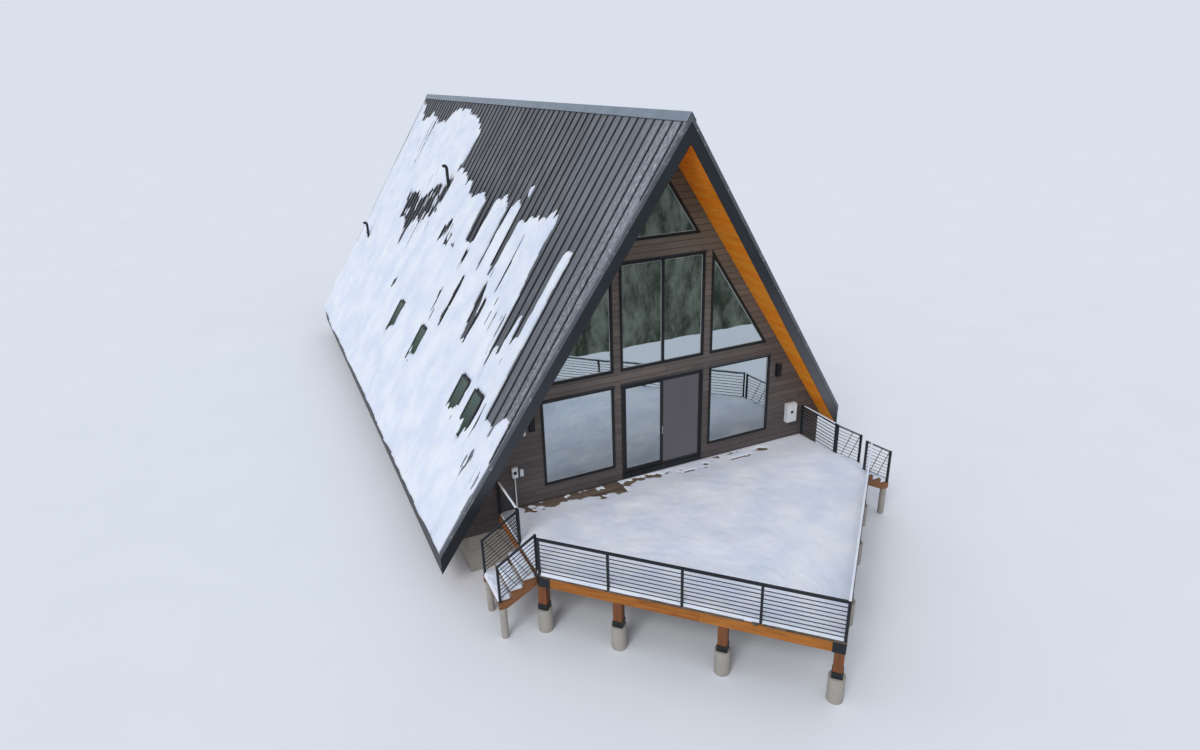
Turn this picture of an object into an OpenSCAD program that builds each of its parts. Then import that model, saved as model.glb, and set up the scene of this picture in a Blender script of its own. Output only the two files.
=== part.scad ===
// A-frame cabin with a standing-seam metal roof, a glazed gable and a pointed timber deck.
// Units are millimetres. +X runs along the front gable, +Y into the building, +Z up.
// The origin is the middle of the underside of the front foundation wall.

/* [House] */

// Height of the door sill above the lowest ground
sill_h = 1500; // [1300:10:1800]
// Height of the soffit apex above the door sill
soffit_apex_h = 8276; // [8000:1:8600]
// Slope of both roof planes in degrees
roof_angle = 56.5; // [54:0.1:58]
// Distance between the outer faces of the two gable walls
house_len = 21080; // [16000:10:22000]
// Thickness of the framed gable walls
wall_t = 240; // [200:10:300]
// Depth of the floors, joists and boards together
floor_t = 300; // [240:10:340]
// Thickness of the foundation walls
footing_t = 200; // [180:10:260]
// Distance of the left foundation wall from the middle
footing_left_x = 5320; // [5200:10:5400]
// Distance of the right foundation wall from the middle
footing_right_x = 5110; // [5000:10:5150]

/* [Roof] */

// Reach of the left eave from the middle
eave_left_x = 6109; // [6000:1:6300]
// Reach of the right eave from the middle
eave_right_x = 5269; // [5240:1:5600]
// Overhang of the rakes at the ridge
overhang = 1190; // [900:1:1400]
// Loss of overhang for each millimetre away from the ridge
overhang_taper = 0.108; // [0:0.001:0.12]
// Thickness of the soffit boards
soffit_t = 18; // [15:1:25]
// Depth of the rafters with their boarding
rafter_t = 289; // [260:1:340]
// Thickness of the metal sheet with its underlay
sheet_t = 12; // [8:1:16]
// Height of a standing seam
seam_h = 25; // [20:1:40]
// Width of a standing seam
seam_w = 22; // [16:1:30]
// Distance from seam to seam
seam_pitch = 396; // [300:1:450]
// Thickness of the rake fascia boards
fascia_t = 45; // [30:1:60]
// Thickness of the metal edge trim
trim_t = 8; // [6:1:12]
// Width of one wing of the ridge cap
cap_w = 215; // [180:5:260]
// Distance of the skylights down the slope
skylight_s = 7230; // [7000:10:7400]
// Length of a skylight down the slope
skylight_l = 1200; // [1000:10:1300]
// Width of a skylight
skylight_w = 680; // [500:10:760]
// Height of a skylight curb above the metal sheet
skylight_h = 70; // [50:5:110]

/* [Front] */

// Half width of the door and of the window pair above it
bay_half = 1170; // [1100:5:1200]
// Height of the door
door_h = 2600; // [2400:5:2650]
// Width of the posts beside the door
post_w = 200; // [160:5:260]
// Width of the lower side windows
side_win_w = 1918; // [1800:1:2000]
// Height of the sill of the lower side windows above the door sill
side_win_sill = 367; // [300:1:500]
// Height of the band between the two window rows
low_band_h = 362; // [330:1:400]
// Height of the windows of the upper row
up_win_h = 2673; // [2500:1:2750]
// Height of the band under the top window
top_band_h = 469; // [420:1:520]
// Half width of the top window
top_win_half = 1013; // [900:1:1050]
// Face width of the window frames
frame_w = 58; // [45:1:75]
// Depth of the window frames
frame_d = 110; // [90:5:140]
// Thickness of the glass units
glass_t = 24; // [18:1:30]
// Exposed height of one siding board
board_h = 162; // [140:1:200]
// Thickness of a siding board at its lower edge
board_butt = 24; // [18:1:30]
// Thickness of a siding board at its upper edge
board_top = 10; // [8:1:14]
// Distance by which the window frames stand out from the wall
frame_out = 38; // [30:1:45]

/* [Door] */

// Height of the sill and riser under the door panels
door_riser = 120; // [80:5:160]
// Face width of the door frame
door_frame_w = 55; // [45:1:70]
// Width of the stiles of a door panel
stile_w = 85; // [70:1:110]
// Height of the bottom rail of a door panel
bottom_rail_h = 120; // [90:1:150]
// Thickness of a door panel
panel_t = 45; // [40:1:50]
// Running clearance around the moving panels
run_gap = 8; // [6:1:12]
// Overlap of the two door panels at the middle
meeting = 40; // [30:1:60]

/* [Deck] */

// Height of the deck surface below the door sill
deck_drop = 50; // [30:5:90]
// Thickness of the deck boards
deck_board_t = 38; // [28:1:45]
// Distance from each side edge of the deck to the soffit, at the height of the top rail
deck_gap = 385; // [300:1:450]
// Depth of the deck at its two outer corners
deck_side_d = 2740; // [2600:10:2900]
// Distance of the deck point from the house wall
deck_point_d = 7190; // [6800:10:7400]
// Sideways position of the deck point
deck_point_x = -210; // [-400:10:0]
// Depth of the rim beams
rim_h = 235; // [200:1:300]
// Thickness of the rim beams
rim_t = 85; // [60:5:110]
// Side of a timber deck post
deck_post_w = 190; // [150:5:220]
// Height of the piers that show under the deck point
pier_h = 570; // [500:10:650]
// Diameter of a pier
pier_d = 320; // [280:10:400]

/* [Railing] */

// Height of the railing above the deck
rail_h = 910; // [840:1:1070]
// Side of a railing post
rail_post_w = 50; // [40:1:60]
// Height of the top rail
rail_top_h = 32; // [25:1:45]
// Side of a horizontal bar
bar_w = 14; // [10:1:18]
// Distance from bar to bar
bar_pitch = 95; // [80:1:100]
// Distance of the railing from the deck edge
rail_inset = 32; // [32:1:90]

/* [Stair] */

// Distance of a stair from the outer corner of the deck
stair_corner = 140; // [120:5:200]
// Clear width of a stair between its railings
stair_w = 1015; // [900:5:1100]
// Height of one step
step_h = 170; // [150:1:185]
// Depth of one step
step_d = 290; // [260:1:310]
// Number of treads of each stair
step_n = 3; // [2:1:3]
// Thickness of a tread
tread_t = 45; // [38:1:50]
// Thickness of a stringer
stringer_t = 60; // [45:1:75]

/* [Fittings] */

// Distance of the wall lamps from the middle
sconce_x = 3548; // [3400:1:3700]
// Height of the middle of the wall lamps above the door sill
sconce_up = 2115; // [1900:5:2200]
// Height of a wall lamp
sconce_h = 360; // [250:5:400]
// Width of a wall lamp
sconce_w = 130; // [90:5:160]
// Depth of a wall lamp
sconce_d = 120; // [90:5:160]
// Distance of the two wall boxes from the side edges of the deck
box_in = 474; // [400:1:600]
// Height of the underside of the right wall box above the door sill
heater_up = 480; // [400:10:600]
// Height of the right wall box
heater_h = 540; // [400:10:600]
// Width of the right wall box
heater_w = 320; // [250:10:400]
// Depth of the right wall box
heater_d = 160; // [120:10:200]
// Height of the underside of the left wall box above the door sill
meter_up = 830; // [600:10:900]
// Height of the left wall box
meter_h = 260; // [200:10:320]
// Width of the left wall box
meter_w = 140; // [110:10:200]
// Depth of the left wall box
meter_d = 110; // [90:5:160]
// Diameter of the conduit under the left wall box
conduit_d = 32; // [20:1:50]
// Diameter of the two vent pipes
vent_d = 110; // [80:5:150]
// Height of a vent pipe above the metal sheet
vent_h = 620; // [400:10:900]
// Distance of the vent collars from the back wall
vent_back = [1380, 8620]; // [600:10:9000]
// Distance of the vent pipes from the ridge, in plan
vent_x = [3890, 1900]; // [1500:10:4000]

/* [Hidden] */

front_y = -wall_t / 2;
back_y = front_y + house_len;
rise = tan(roof_angle);
apex_z = sill_h + soffit_apex_h;
core_o = soffit_t + rafter_t;
sheet_o = core_o + sheet_t;
seam_o = sheet_o + seam_h;
found_h = sill_h - floor_t;
siding_z = found_h - 200;
seat = 0.3;
cover = 20000;
plate_t = 12;

function plane_z(x, o = 0) = apex_z + o / cos(roof_angle) - rise * abs(x);
function plane_x(z, o = 0) = (apex_z + o / cos(roof_angle) - z) / rise;
function rake_y(x) = front_y - overhang + overhang_taper * abs(x);
function rake_back_y(x) = back_y + overhang - overhang_taper * abs(x);
function eave_x(side) = side < 0 ? eave_left_x : eave_right_x;
function unit(v) = v / norm(v);
function inward(a, b) = let (u = unit(b - a)) [-u.y, u.x];
function inset(pts, d) = [
    for (i = [0 : len(pts) - 1])
        let (
            n = len(pts),
            before = inward(pts[(i + n - 1) % n], pts[i]),
            after = inward(pts[i], pts[(i + 1) % n])
        )
        pts[i] + d * (before + after) / (1 + before * after)
];
function flip(pts) = [for (i = [len(pts) - 1 : -1 : 0]) [-pts[i].x, pts[i].y]];
function box_pts(x0, z0, x1, z1) = [[x0, z0], [x1, z0], [x1, z1], [x0, z1]];

door_top = sill_h + door_h;
low_sill = sill_h + side_win_sill;
up_sill = door_top + low_band_h;
up_top = up_sill + up_win_h;
top_sill = up_top + top_band_h;
post_x = bay_half + post_w;
up_tri_w = up_win_h / rise;
gap_side = 6;

door_hole = box_pts(-bay_half, sill_h, bay_half, door_top);
back_hole = box_pts(-bay_half, low_sill, bay_half, door_top);
low_right = box_pts(post_x, low_sill, post_x + side_win_w, door_top);
up_pair = box_pts(-bay_half, up_sill, bay_half, up_top);
up_right = [
    [post_x, up_sill],
    [post_x + up_tri_w, up_sill],
    [post_x, up_top]
];
top_tri = [
    [-top_win_half, top_sill],
    [top_win_half, top_sill],
    [0, top_sill + top_win_half * rise]
];
side_holes = [low_right, flip(low_right), up_pair, up_right, flip(up_right), top_tri];
front_holes = concat([door_hole], side_holes);
back_holes = concat([back_hole], side_holes);

deck_z = sill_h - deck_drop;
deck_x = plane_x(deck_z + rail_h) - deck_gap;
rim_top = deck_z - deck_board_t;
wall_face = front_y - board_butt - seat;
deck_pts = [
    [-deck_x, wall_face],
    [-deck_x, front_y - deck_side_d],
    [deck_point_x, front_y - deck_point_d],
    [deck_x, front_y - deck_side_d],
    [deck_x, wall_face]
];
rail_line = inset(deck_pts, rail_inset);
stair_y0 = front_y - deck_side_d + stair_corner;
stair_y1 = stair_y0 + stair_w + 2 * rail_post_w;

// Extrudes a drawing of the XZ plane from y0 to y1.
module along_y(y0, y1) {
    translate([0, y1, 0])
        rotate([90, 0, 0])
            linear_extrude(y1 - y0)
                children();
}

// Puts children on a roof plane: local x runs down the slope, local z points outward.
module on_slope(side) {
    mirror([side < 0 ? 1 : 0, 0, 0])
        translate([0, 0, apex_z])
            rotate([0, roof_angle, 0])
                children();
}

// Section of one roof layer between two offsets from the soffit plane.
module slope_section(side, o0, o1, reach) {
    polygon([
        [0, plane_z(0, o0)],
        [side * reach, plane_z(reach, o0)],
        [side * reach, plane_z(reach, o1)],
        [0, plane_z(0, o1)]
    ]);
}

// Plan of one slope, its rakes drawn in by d.
module slope_plan(side, reach, d) {
    linear_extrude(cover)
        polygon([
            [0, rake_y(0) + d],
            [side * reach, rake_y(reach) + d],
            [side * reach, rake_back_y(reach) - d],
            [0, rake_back_y(0) - d]
        ]);
}

module slope_layer(side, o0, o1, reach, d) {
    intersection() {
        along_y(rake_y(0) - overhang, rake_back_y(0) + overhang)
            slope_section(side, o0, o1, reach);
        slope_plan(side, reach, d);
    }
}

skylight_y = [1420, 2550, 7300, 10550];

// Openings of the skylights, grown by g on each side.
module skylight_cuts(side, g, o0, o1) {
    for (y = skylight_y)
        on_slope(side)
            translate([skylight_s - g, y - skylight_w / 2 - g, o0])
                cube([skylight_l + 2 * g, skylight_w + 2 * g, o1 - o0]);
}

module roof_core(side) {
    difference() {
        slope_layer(side, soffit_t, core_o, eave_x(side) - fascia_t, fascia_t);
        skylight_cuts(side, 0, 0, sheet_o + seam_h);
    }
}

module roof_core_left() {
    color("#8a7358")
        roof_core(-1);
}

module roof_core_right() {
    color("#8a7358")
        roof_core(1);
}

seam_first = front_y - 990;
seam_n = ceil((rake_back_y(0) - seam_first) / seam_pitch);

module roof_metal(side) {
    difference() {
        union() {
            slope_layer(side, core_o + seat, sheet_o, eave_x(side), 0);
            intersection() {
                for (i = [0 : seam_n - 1])
                    along_y(seam_first + i * seam_pitch - seam_w / 2,
                            seam_first + i * seam_pitch + seam_w / 2)
                        slope_section(side, sheet_o - 1, seam_o, eave_x(side));
                slope_plan(side, eave_x(side), fascia_t + 2 * seam_w);
            }
        }
        skylight_cuts(side, 0, 0, sheet_o + 2 * seam_h);
    }
}

module roof_metal_left() {
    color("#4a4846")
        roof_metal(-1);
}

module roof_metal_right() {
    color("#4a4846")
        roof_metal(1);
}

module ridge_cap() {
    reach = cap_w * cos(roof_angle);
    color("#9aa1a8")
        for (side = [-1, 1])
            slope_layer(side, seam_o + seat, seam_o + trim_t, reach, -trim_t);
}

module soffits() {
    color("#c4701f")
        for (side = [-1, 1])
            difference() {
                slope_layer(side, 0, soffit_t, eave_x(side) - fascia_t, fascia_t);
                along_y(front_y, back_y)
                    square([4 * eave_left_x, 4 * apex_z], center = true);
            }
}

// Strip along both rakes between the distances d0 and d1 from the outer edge.
module rake_strip(o0, o1, d0, d1) {
    for (side = [-1, 1])
        difference() {
            slope_layer(side, o0, o1, eave_x(side), d0);
            slope_plan(side, eave_x(side) + 1, d1);
        }
}

module rake_fascias() {
    color("#26282b")
        rake_strip(0, core_o, 0, fascia_t - seat);
}

module rake_trims() {
    color("#3a3d41")
        union() {
            rake_strip(core_o - 60, sheet_o + trim_t, -trim_t, 0);
            rake_strip(sheet_o, sheet_o + trim_t, -trim_t, fascia_t + seam_w);
        }
}

module eave_fascias() {
    color("#2b2d30")
        for (side = [-1, 1])
            intersection() {
                slope_layer(side, 0, core_o, eave_x(side), fascia_t);
                translate([side < 0 ? -eave_x(side) : eave_x(side) - fascia_t, -cover / 2, 0])
                    cube([fascia_t, 2 * cover, cover]);
            }
}

curb_t = 60;

module skylight_frames() {
    color("#2f3236")
        for (side = [-1, 1])
            difference() {
                skylight_cuts(side, 0, soffit_t, sheet_o + skylight_h);
                skylight_cuts(side, -curb_t, 0, sheet_o + 2 * skylight_h);
            }
}

module skylight_glass() {
    color("#9fc0b0")
        for (side = [-1, 1])
            skylight_cuts(side, -curb_t, sheet_o + skylight_h - glass_t - 10,
                          sheet_o + skylight_h - 10);
}

// Gable outline under the roof plane at offset o, down to z0.
module gable(z0, o) {
    polygon([
        [-plane_x(z0, o), z0],
        [footing_right_x, z0],
        [footing_right_x, plane_z(footing_right_x, o)],
        [0, plane_z(0, o)]
    ]);
}

module holes(list) {
    for (p = list)
        polygon(p);
}

// Framed wall of one gable, in panels that meet at the rows of its openings and above the top window.
module wall_panels(list) {
    difference() {
        gable(found_h, soffit_t - seat);
        holes(list);
        for (z = [sill_h, low_sill, door_top, up_sill, up_top, top_sill])
            translate([-cover / 2, z - seat / 2])
                square([cover, seat]);
        translate([-seat / 2, top_sill])
            square([seat, cover]);
    }
}

module front_wall() {
    color("#5b4e45")
        along_y(front_y, -front_y)
            wall_panels(front_holes);
}

module back_wall() {
    color("#5b4e45")
        along_y(back_y - wall_t, back_y)
            wall_panels(back_holes);
}

siding_n = ceil((apex_z - siding_z) / board_h);

module lap_profile() {
    polygon(concat(
        [[front_y, siding_z]],
        [for (i = [0 : siding_n - 1])
            each [
                [front_y - board_butt, siding_z + i * board_h],
                [front_y - board_top, siding_z + (i + 1) * board_h]
            ]],
        [[front_y, siding_z + siding_n * board_h]]
    ));
}

module front_siding() {
    color("#4c3f38")
        intersection() {
            translate([-eave_left_x, 0, 0])
                rotate([90, 0, 90])
                    linear_extrude(2 * eave_left_x)
                        lap_profile();
            along_y(front_y - wall_t, front_y + 1)
                difference() {
                    gable(siding_z, -seat);
                    holes(front_holes);
                }
        }
}

module ring(pts, w) {
    difference() {
        polygon(pts);
        polygon(inset(pts, w));
    }
}

// Frames of one gable: a ring in every opening and a mullion in the pairs.
module window_frames(list, pairs, y0, y1) {
    along_y(y0, y1) {
        for (p = list)
            ring(p, frame_w);
        for (p = pairs)
            translate([-frame_w / 2, p[0].y + frame_w - seat])
                square([frame_w, p[2].y - p[0].y - 2 * frame_w + 2 * seat]);
    }
}

module window_glass(list, pairs, y0) {
    along_y(y0, y0 + glass_t)
        difference() {
            for (p = list)
                polygon(inset(p, frame_w));
            for (p = pairs)
                translate([-frame_w / 2, p[0].y])
                    square([frame_w, p[2].y - p[0].y]);
        }
}

frame_y = front_y - frame_out;
glass_y = frame_y + frame_d / 2 - glass_t / 2;

module front_window_frames() {
    color("#1d1f22")
        window_frames(side_holes, [up_pair], frame_y, frame_y + frame_d);
}

module front_window_glass() {
    color("#7d95a8") {
        window_glass(side_holes, [up_pair], glass_y);
        door_fixed_glass();
    }
}

module back_window_frames() {
    color("#1d1f22")
        window_frames(back_holes, [up_pair, back_hole], back_y - frame_d, back_y);
}

module back_window_glass() {
    color("#7d95a8")
        window_glass(back_holes, [up_pair, back_hole], back_y - frame_d / 2 - glass_t / 2);
}

track_y = frame_y + 14;
screen_t = 20;
fixed_y = track_y + screen_t + run_gap;
slider_y = fixed_y + panel_t + run_gap;
frame_end_y = slider_y + panel_t + run_gap;
panel_z = sill_h + door_riser + run_gap;
panel_top = door_top - door_frame_w - run_gap;
jamb_x = bay_half - door_frame_w;

module door_frame() {
    color("#17181a")
        along_y(frame_y, frame_end_y)
            difference() {
                polygon(door_hole);
                polygon(box_pts(-jamb_x, sill_h + door_riser, jamb_x, door_top - door_frame_w));
            }
}

module panel_frame(x0, x1, z0, z1, y, t, w, low) {
    along_y(y, y + t)
        difference() {
            polygon(box_pts(x0, z0, x1, z1));
            polygon(box_pts(x0 + w, z0 + low, x1 - w, z1 - w));
        }
}

module panel_pane(x0, x1, z0, z1, y, w, low) {
    along_y(y + (panel_t - glass_t) / 2, y + (panel_t + glass_t) / 2)
        polygon(box_pts(x0 + w, z0 + low, x1 - w, z1 - w));
}

fixed_z0 = sill_h + door_riser;
fixed_z1 = door_top - door_frame_w;

module door_fixed_panel() {
    color("#17181a")
        panel_frame(-jamb_x, meeting, fixed_z0, fixed_z1, fixed_y, panel_t, stile_w, bottom_rail_h);
}

module door_fixed_glass() {
    panel_pane(-jamb_x, meeting, fixed_z0, fixed_z1, fixed_y, stile_w, bottom_rail_h);
}

slider_x0 = -meeting;
slider_x1 = jamb_x - run_gap;

roller_l = 60;
roller_t = 12;

// Rollers under a moving panel that run on the sill.
module rollers(y) {
    for (x = [slider_x0 + roller_l, slider_x1 - 2 * roller_l])
        translate([x, y - roller_t / 2, fixed_z0 + seat])
            cube([roller_l, roller_t, run_gap]);
}

module door_slider() {
    color("#17181a")
        union() {
            panel_frame(slider_x0, slider_x1, panel_z, panel_top, slider_y, panel_t, stile_w, bottom_rail_h);
            rollers(slider_y + panel_t / 2);
        }
}

module door_slider_glass() {
    color("#7d95a8")
        panel_pane(slider_x0, slider_x1, panel_z, panel_top, slider_y, stile_w, bottom_rail_h);
}

mesh_t = 4;

module door_screen() {
    color("#2c2f33")
        union() {
            panel_frame(slider_x0, slider_x1, panel_z, panel_top, track_y, screen_t, 50, 70);
            along_y(track_y + 8, track_y + 8 + mesh_t)
                polygon(box_pts(slider_x0 + 49, panel_z + 69, slider_x1 - 49, panel_top - 49));
            rollers(track_y + screen_t / 2);
        }
}

module foundation() {
    color("#9a9893")
        difference() {
            translate([-footing_left_x, front_y, 0])
                cube([footing_left_x + footing_right_x, house_len, found_h]);
            translate([footing_t - footing_left_x, -front_y, -1])
                cube([footing_left_x + footing_right_x - 2 * footing_t, house_len - 2 * wall_t, found_h + 2]);
        }
}

// Floor section between both roof planes, or up to the knee wall on the right.
module floor_section(z0, z1) {
    left0 = plane_x(z0, soffit_t - seat);
    left1 = plane_x(z1, soffit_t - seat);
    right0 = min(left0, footing_right_x - footing_t);
    right1 = min(left1, footing_right_x - footing_t);
    polygon([[-left0, z0], [right0, z0], [right1, z1], [-left1, z1]]);
}

module main_floor() {
    color("#b08d62")
        along_y(-front_y, back_y - wall_t)
            floor_section(found_h, sill_h);
}

module upper_floors() {
    color("#b08d62")
        along_y(-front_y, back_y - wall_t) {
            floor_section(up_sill - floor_t - 30, up_sill - 30);
            floor_section(top_sill - floor_t - 90, top_sill - 90);
        }
}

module knee_wall() {
    x0 = footing_right_x - footing_t;
    x1 = footing_right_x;
    color("#5b4e45")
        along_y(-front_y, back_y - wall_t)
            polygon([
                [x0, found_h],
                [x1, found_h],
                [x1, plane_z(x1, soffit_t - seat)],
                [x0, plane_z(x0, soffit_t - seat)]
            ]);
}

rim_set = 12;

module deck_boards() {
    color("#8a5a3c")
        translate([0, 0, rim_top])
            linear_extrude(deck_board_t)
                polygon(deck_pts);
}

module deck_rim() {
    color("#b3672a")
        translate([0, 0, rim_top - rim_h])
            linear_extrude(rim_h)
                ring(inset(deck_pts, rim_set), rim_t);
}

joist_t = 60;
joist_h = rim_h - 15;
joist_pitch = 600;

module deck_joists() {
    inner = inset(deck_pts, rim_set + rim_t);
    color("#a97c4d")
        translate([0, 0, rim_top - joist_h])
            linear_extrude(joist_h)
                intersection() {
                    polygon(inner);
                    for (x = [-7 * joist_pitch : joist_pitch : 7 * joist_pitch])
                        translate([x - joist_t / 2, -cover])
                            square([joist_t, cover]);
                }
}

post_line = inset(deck_pts, rim_set + deck_post_w / 2);
point_post = post_line[2];
left_post = post_line[1];
right_post = post_line[3];
deck_post_xy = [
    point_post,
    point_post + (left_post - point_post) * 0.36,
    point_post + (left_post - point_post) * 0.72,
    left_post,
    point_post + (right_post - point_post) * 0.36,
    point_post + (right_post - point_post) * 0.72,
    right_post
];
rim_bottom = rim_top - rim_h;

// Turn of a post that squares it to its rim beam.
function post_turn(i) =
    let (run = (i < 4 ? left_post : right_post) - point_post)
        atan2(run.y, run.x);

module deck_posts() {
    color("#8a5a2e")
        for (i = [0 : len(deck_post_xy) - 1])
            translate([deck_post_xy[i].x, deck_post_xy[i].y, pier_h])
                rotate([0, 0, post_turn(i)])
                    translate([-deck_post_w / 2, -deck_post_w / 2, 0])
                        cube([deck_post_w, deck_post_w, rim_bottom - pier_h]);
}

stair_end = step_n * step_d;
ground_side = deck_z - (step_n + 1) * step_h;
stair_pier_xy = [
    for (side = [-1, 1])
        for (y = [stair_y0 + stringer_t, stair_y1 - stringer_t])
            [side * (deck_x + stair_end - 100), y]
];

module deck_piers() {
    color("#a5a19a") {
        for (p = deck_post_xy)
            translate([p.x, p.y, 0])
                cylinder(h = pier_h, d = pier_d);
        for (p = stair_pier_xy)
            translate([p.x, p.y, 0])
                cylinder(h = ground_side, d = pier_d / 2);
    }
}

corner_plate_l = 245;

// Steel shoes on the piers and steel plates around the three free corners of the rim.
module deck_brackets() {
    color("#1c1e20") {
        translate([0, 0, rim_bottom])
            linear_extrude(rim_h)
                intersection() {
                    ring(deck_pts, rim_set);
                    for (i = [1 : 3])
                        translate(deck_pts[i])
                            circle(r = corner_plate_l);
                }
        for (i = [0 : len(deck_post_xy) - 1])
            translate([deck_post_xy[i].x, deck_post_xy[i].y, pier_h])
                rotate([0, 0, post_turn(i)])
                    difference() {
                        translate([-deck_post_w / 2 - plate_t, -deck_post_w / 2 - plate_t, 0])
                            cube([deck_post_w + 2 * plate_t, deck_post_w + 2 * plate_t, 140]);
                        translate([-deck_post_w / 2, -deck_post_w / 2, -1])
                            cube([deck_post_w, deck_post_w, 150]);
                    }
    }
}

bar_n = floor((rail_h - rail_top_h) / bar_pitch);

// Straight railing from a to b with n bays on the deck; first = 1 leaves out the post at a.
module rail_run(a, b, n, first) {
    run = norm(b - a);
    x0 = first == 0 ? -rail_post_w / 2 : 0;
    translate([a.x, a.y, deck_z])
        rotate([0, 0, atan2(b.y - a.y, b.x - a.x)])
            union() {
                for (i = [first : n])
                    translate([i * run / n - rail_post_w / 2, -rail_post_w / 2, 0])
                        cube([rail_post_w, rail_post_w, rail_h - rail_top_h + 1]);
                translate([x0, -rail_post_w / 2, rail_h - rail_top_h])
                    cube([run + rail_post_w / 2 - x0, rail_post_w, rail_top_h]);
                for (i = [1 : bar_n])
                    translate([0, -bar_w / 2, i * bar_pitch - bar_w / 2])
                        cube([run, bar_w, bar_w]);
            }
}

post_gap = 8;
front_bays = 4;
left_corner = rail_line[1];
point_corner = rail_line[2];
right_corner = rail_line[3];

module rail_edge(corner) {
    rail_run([corner.x, wall_face - 60], [corner.x, stair_y1 + rail_post_w / 2 + post_gap], 1, 0);
}

module rail_left_edge() {
    color("#1c1e20")
        rail_edge(left_corner);
}

module rail_right_edge() {
    color("#1c1e20")
        rail_edge(right_corner);
}

module rail_front_left() {
    color("#1c1e20")
        rail_run(point_corner, left_corner, front_bays, 0);
}

module rail_front_right() {
    away = unit(right_corner - point_corner);
    color("#1c1e20")
        rail_run(point_corner + away * (rail_post_w / 2 + post_gap), right_corner, front_bays, 1);
}

// Section of a stringer with its steps; x runs outward from the deck edge.
module stringer_section() {
    polygon(concat(
        [[0, deck_z - step_h - tread_t]],
        [for (i = [1 : step_n])
            each [
                [(i - 1) * step_d, deck_z - i * step_h - tread_t],
                [i * step_d, deck_z - i * step_h - tread_t]
            ]],
        [[stair_end, ground_side], [stair_end - 200, ground_side], [0, rim_bottom - 60]]
    ));
}

// One flight: two stringers joined by the treads.
module stair(side) {
    mirror([side < 0 ? 1 : 0, 0, 0])
        translate([deck_x, 0, 0])
            union() {
                for (y = [stair_y0, stair_y1 - stringer_t])
                    along_y(y, y + stringer_t)
                        stringer_section();
                for (i = [1 : step_n])
                    translate([(i - 1) * step_d, stair_y0, deck_z - i * step_h - tread_t])
                        cube([step_d, stair_y1 - stair_y0, tread_t]);
            }
}

module stair_left() {
    color("#8a5a3c")
        stair(-1);
}

module stair_right() {
    color("#8a5a3c")
        stair(1);
}

fall = step_h / step_d;
last_x = stair_end - 40;
spacer_w = 10;

// Sloping railing panel with its two posts and two thin spacers square to the slope.
module stair_rail() {
    top0 = deck_z + rail_h;
    run = rail_inset + last_x;
    foot = deck_z - step_n * step_h;
    union() {
        for (share = [0.64, 0.965])
            translate([run * share - rail_inset, (rail_post_w - bar_w) / 2, top0 - rail_top_h / 2 - run * share * fall])
                rotate([0, 90 + atan(fall), 0])
                    translate([0, 0, -spacer_w / 2])
                        cube([(rail_h - bar_pitch) * cos(atan(fall)), bar_w, spacer_w]);
        translate([-rail_inset - rail_post_w / 2, 0, deck_z])
            cube([rail_post_w, rail_post_w, rail_h]);
        translate([last_x - rail_post_w / 2, 0, foot])
            cube([rail_post_w, rail_post_w, top0 - run * fall - foot]);
        along_y(0, rail_post_w)
            polygon([[-rail_inset, top0 - rail_top_h], [last_x, top0 - rail_top_h - run * fall],
                     [last_x, top0 - run * fall], [-rail_inset, top0]]);
        along_y((rail_post_w - bar_w) / 2, (rail_post_w + bar_w) / 2)
            for (i = [1 : bar_n])
                polygon([[-rail_inset, deck_z + i * bar_pitch], [last_x, deck_z + i * bar_pitch - run * fall],
                         [last_x, deck_z + i * bar_pitch + bar_w - run * fall],
                         [-rail_inset, deck_z + i * bar_pitch + bar_w]]);
    }
}

module stair_rails(side) {
    mirror([side < 0 ? 1 : 0, 0, 0])
        for (y = [stair_y0, stair_y1 - rail_post_w])
            translate([deck_x, y, 0])
                stair_rail();
}

module stair_left_rails() {
    color("#1c1e20")
        stair_rails(-1);
}

module stair_right_rails() {
    color("#1c1e20")
        stair_rails(1);
}

box_x = deck_x - box_in;

// Box on the siding: middle x, underside z, width, depth and height.
module wall_box(x, z, w, d, h) {
    translate([x - w / 2, front_y - d, z])
        cube([w, d - board_butt - seat, h]);
}

module wall_sconces() {
    color("#111213")
        for (side = [-1, 1])
            wall_box(side * sconce_x, sill_h + sconce_up - sconce_h / 2, sconce_w, sconce_d, sconce_h);
}

module service_boxes() {
    color("#c9ccce") {
        wall_box(box_x, sill_h + heater_up, heater_w, heater_d, heater_h);
        wall_box(-box_x, sill_h + meter_up, meter_w, meter_d, meter_h);
        wall_box(-box_x + 1.3 * meter_w, sill_h + meter_up - meter_h / 12, meter_w * 0.6, meter_d * 0.6, meter_h * 0.7);
        wall_box(-sconce_x - 1.5 * sconce_w, sill_h + sconce_up - sconce_h * 0.7, sconce_w / 2, sconce_d * 0.7, sconce_h * 0.3);
        translate([-box_x, front_y - meter_d / 2, deck_z])
            cylinder(h = sill_h + meter_up - deck_z + seat, d = conduit_d);
    }
}

// Middle of the roof sheet that lies nearest to distance d from the back wall.
function vent_y(d) = seam_first + (floor((back_y - d - seam_first) / seam_pitch) + 0.5) * seam_pitch;

// Pipes through the left slope, each in a collar that lies on the metal sheet.
module roof_vents() {
    color("#2a2c2f")
        for (i = [0, 1])
            let (x = vent_x[i], y = vent_y(vent_back[i]))
                difference() {
                    union() {
                        translate([-x, y, plane_z(x, sheet_o) - vent_d])
                            cylinder(h = vent_h + vent_d, d = vent_d);
                        on_slope(-1)
                            translate([x / cos(roof_angle) + sheet_o * rise, y, sheet_o])
                                cylinder(h = 1.8 * seam_h, d = 1.5 * vent_d);
                    }
                    along_y(y - 2 * vent_d, y + 2 * vent_d)
                        slope_section(-1, -core_o, sheet_o + seat, eave_x(-1));
                }
}

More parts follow.
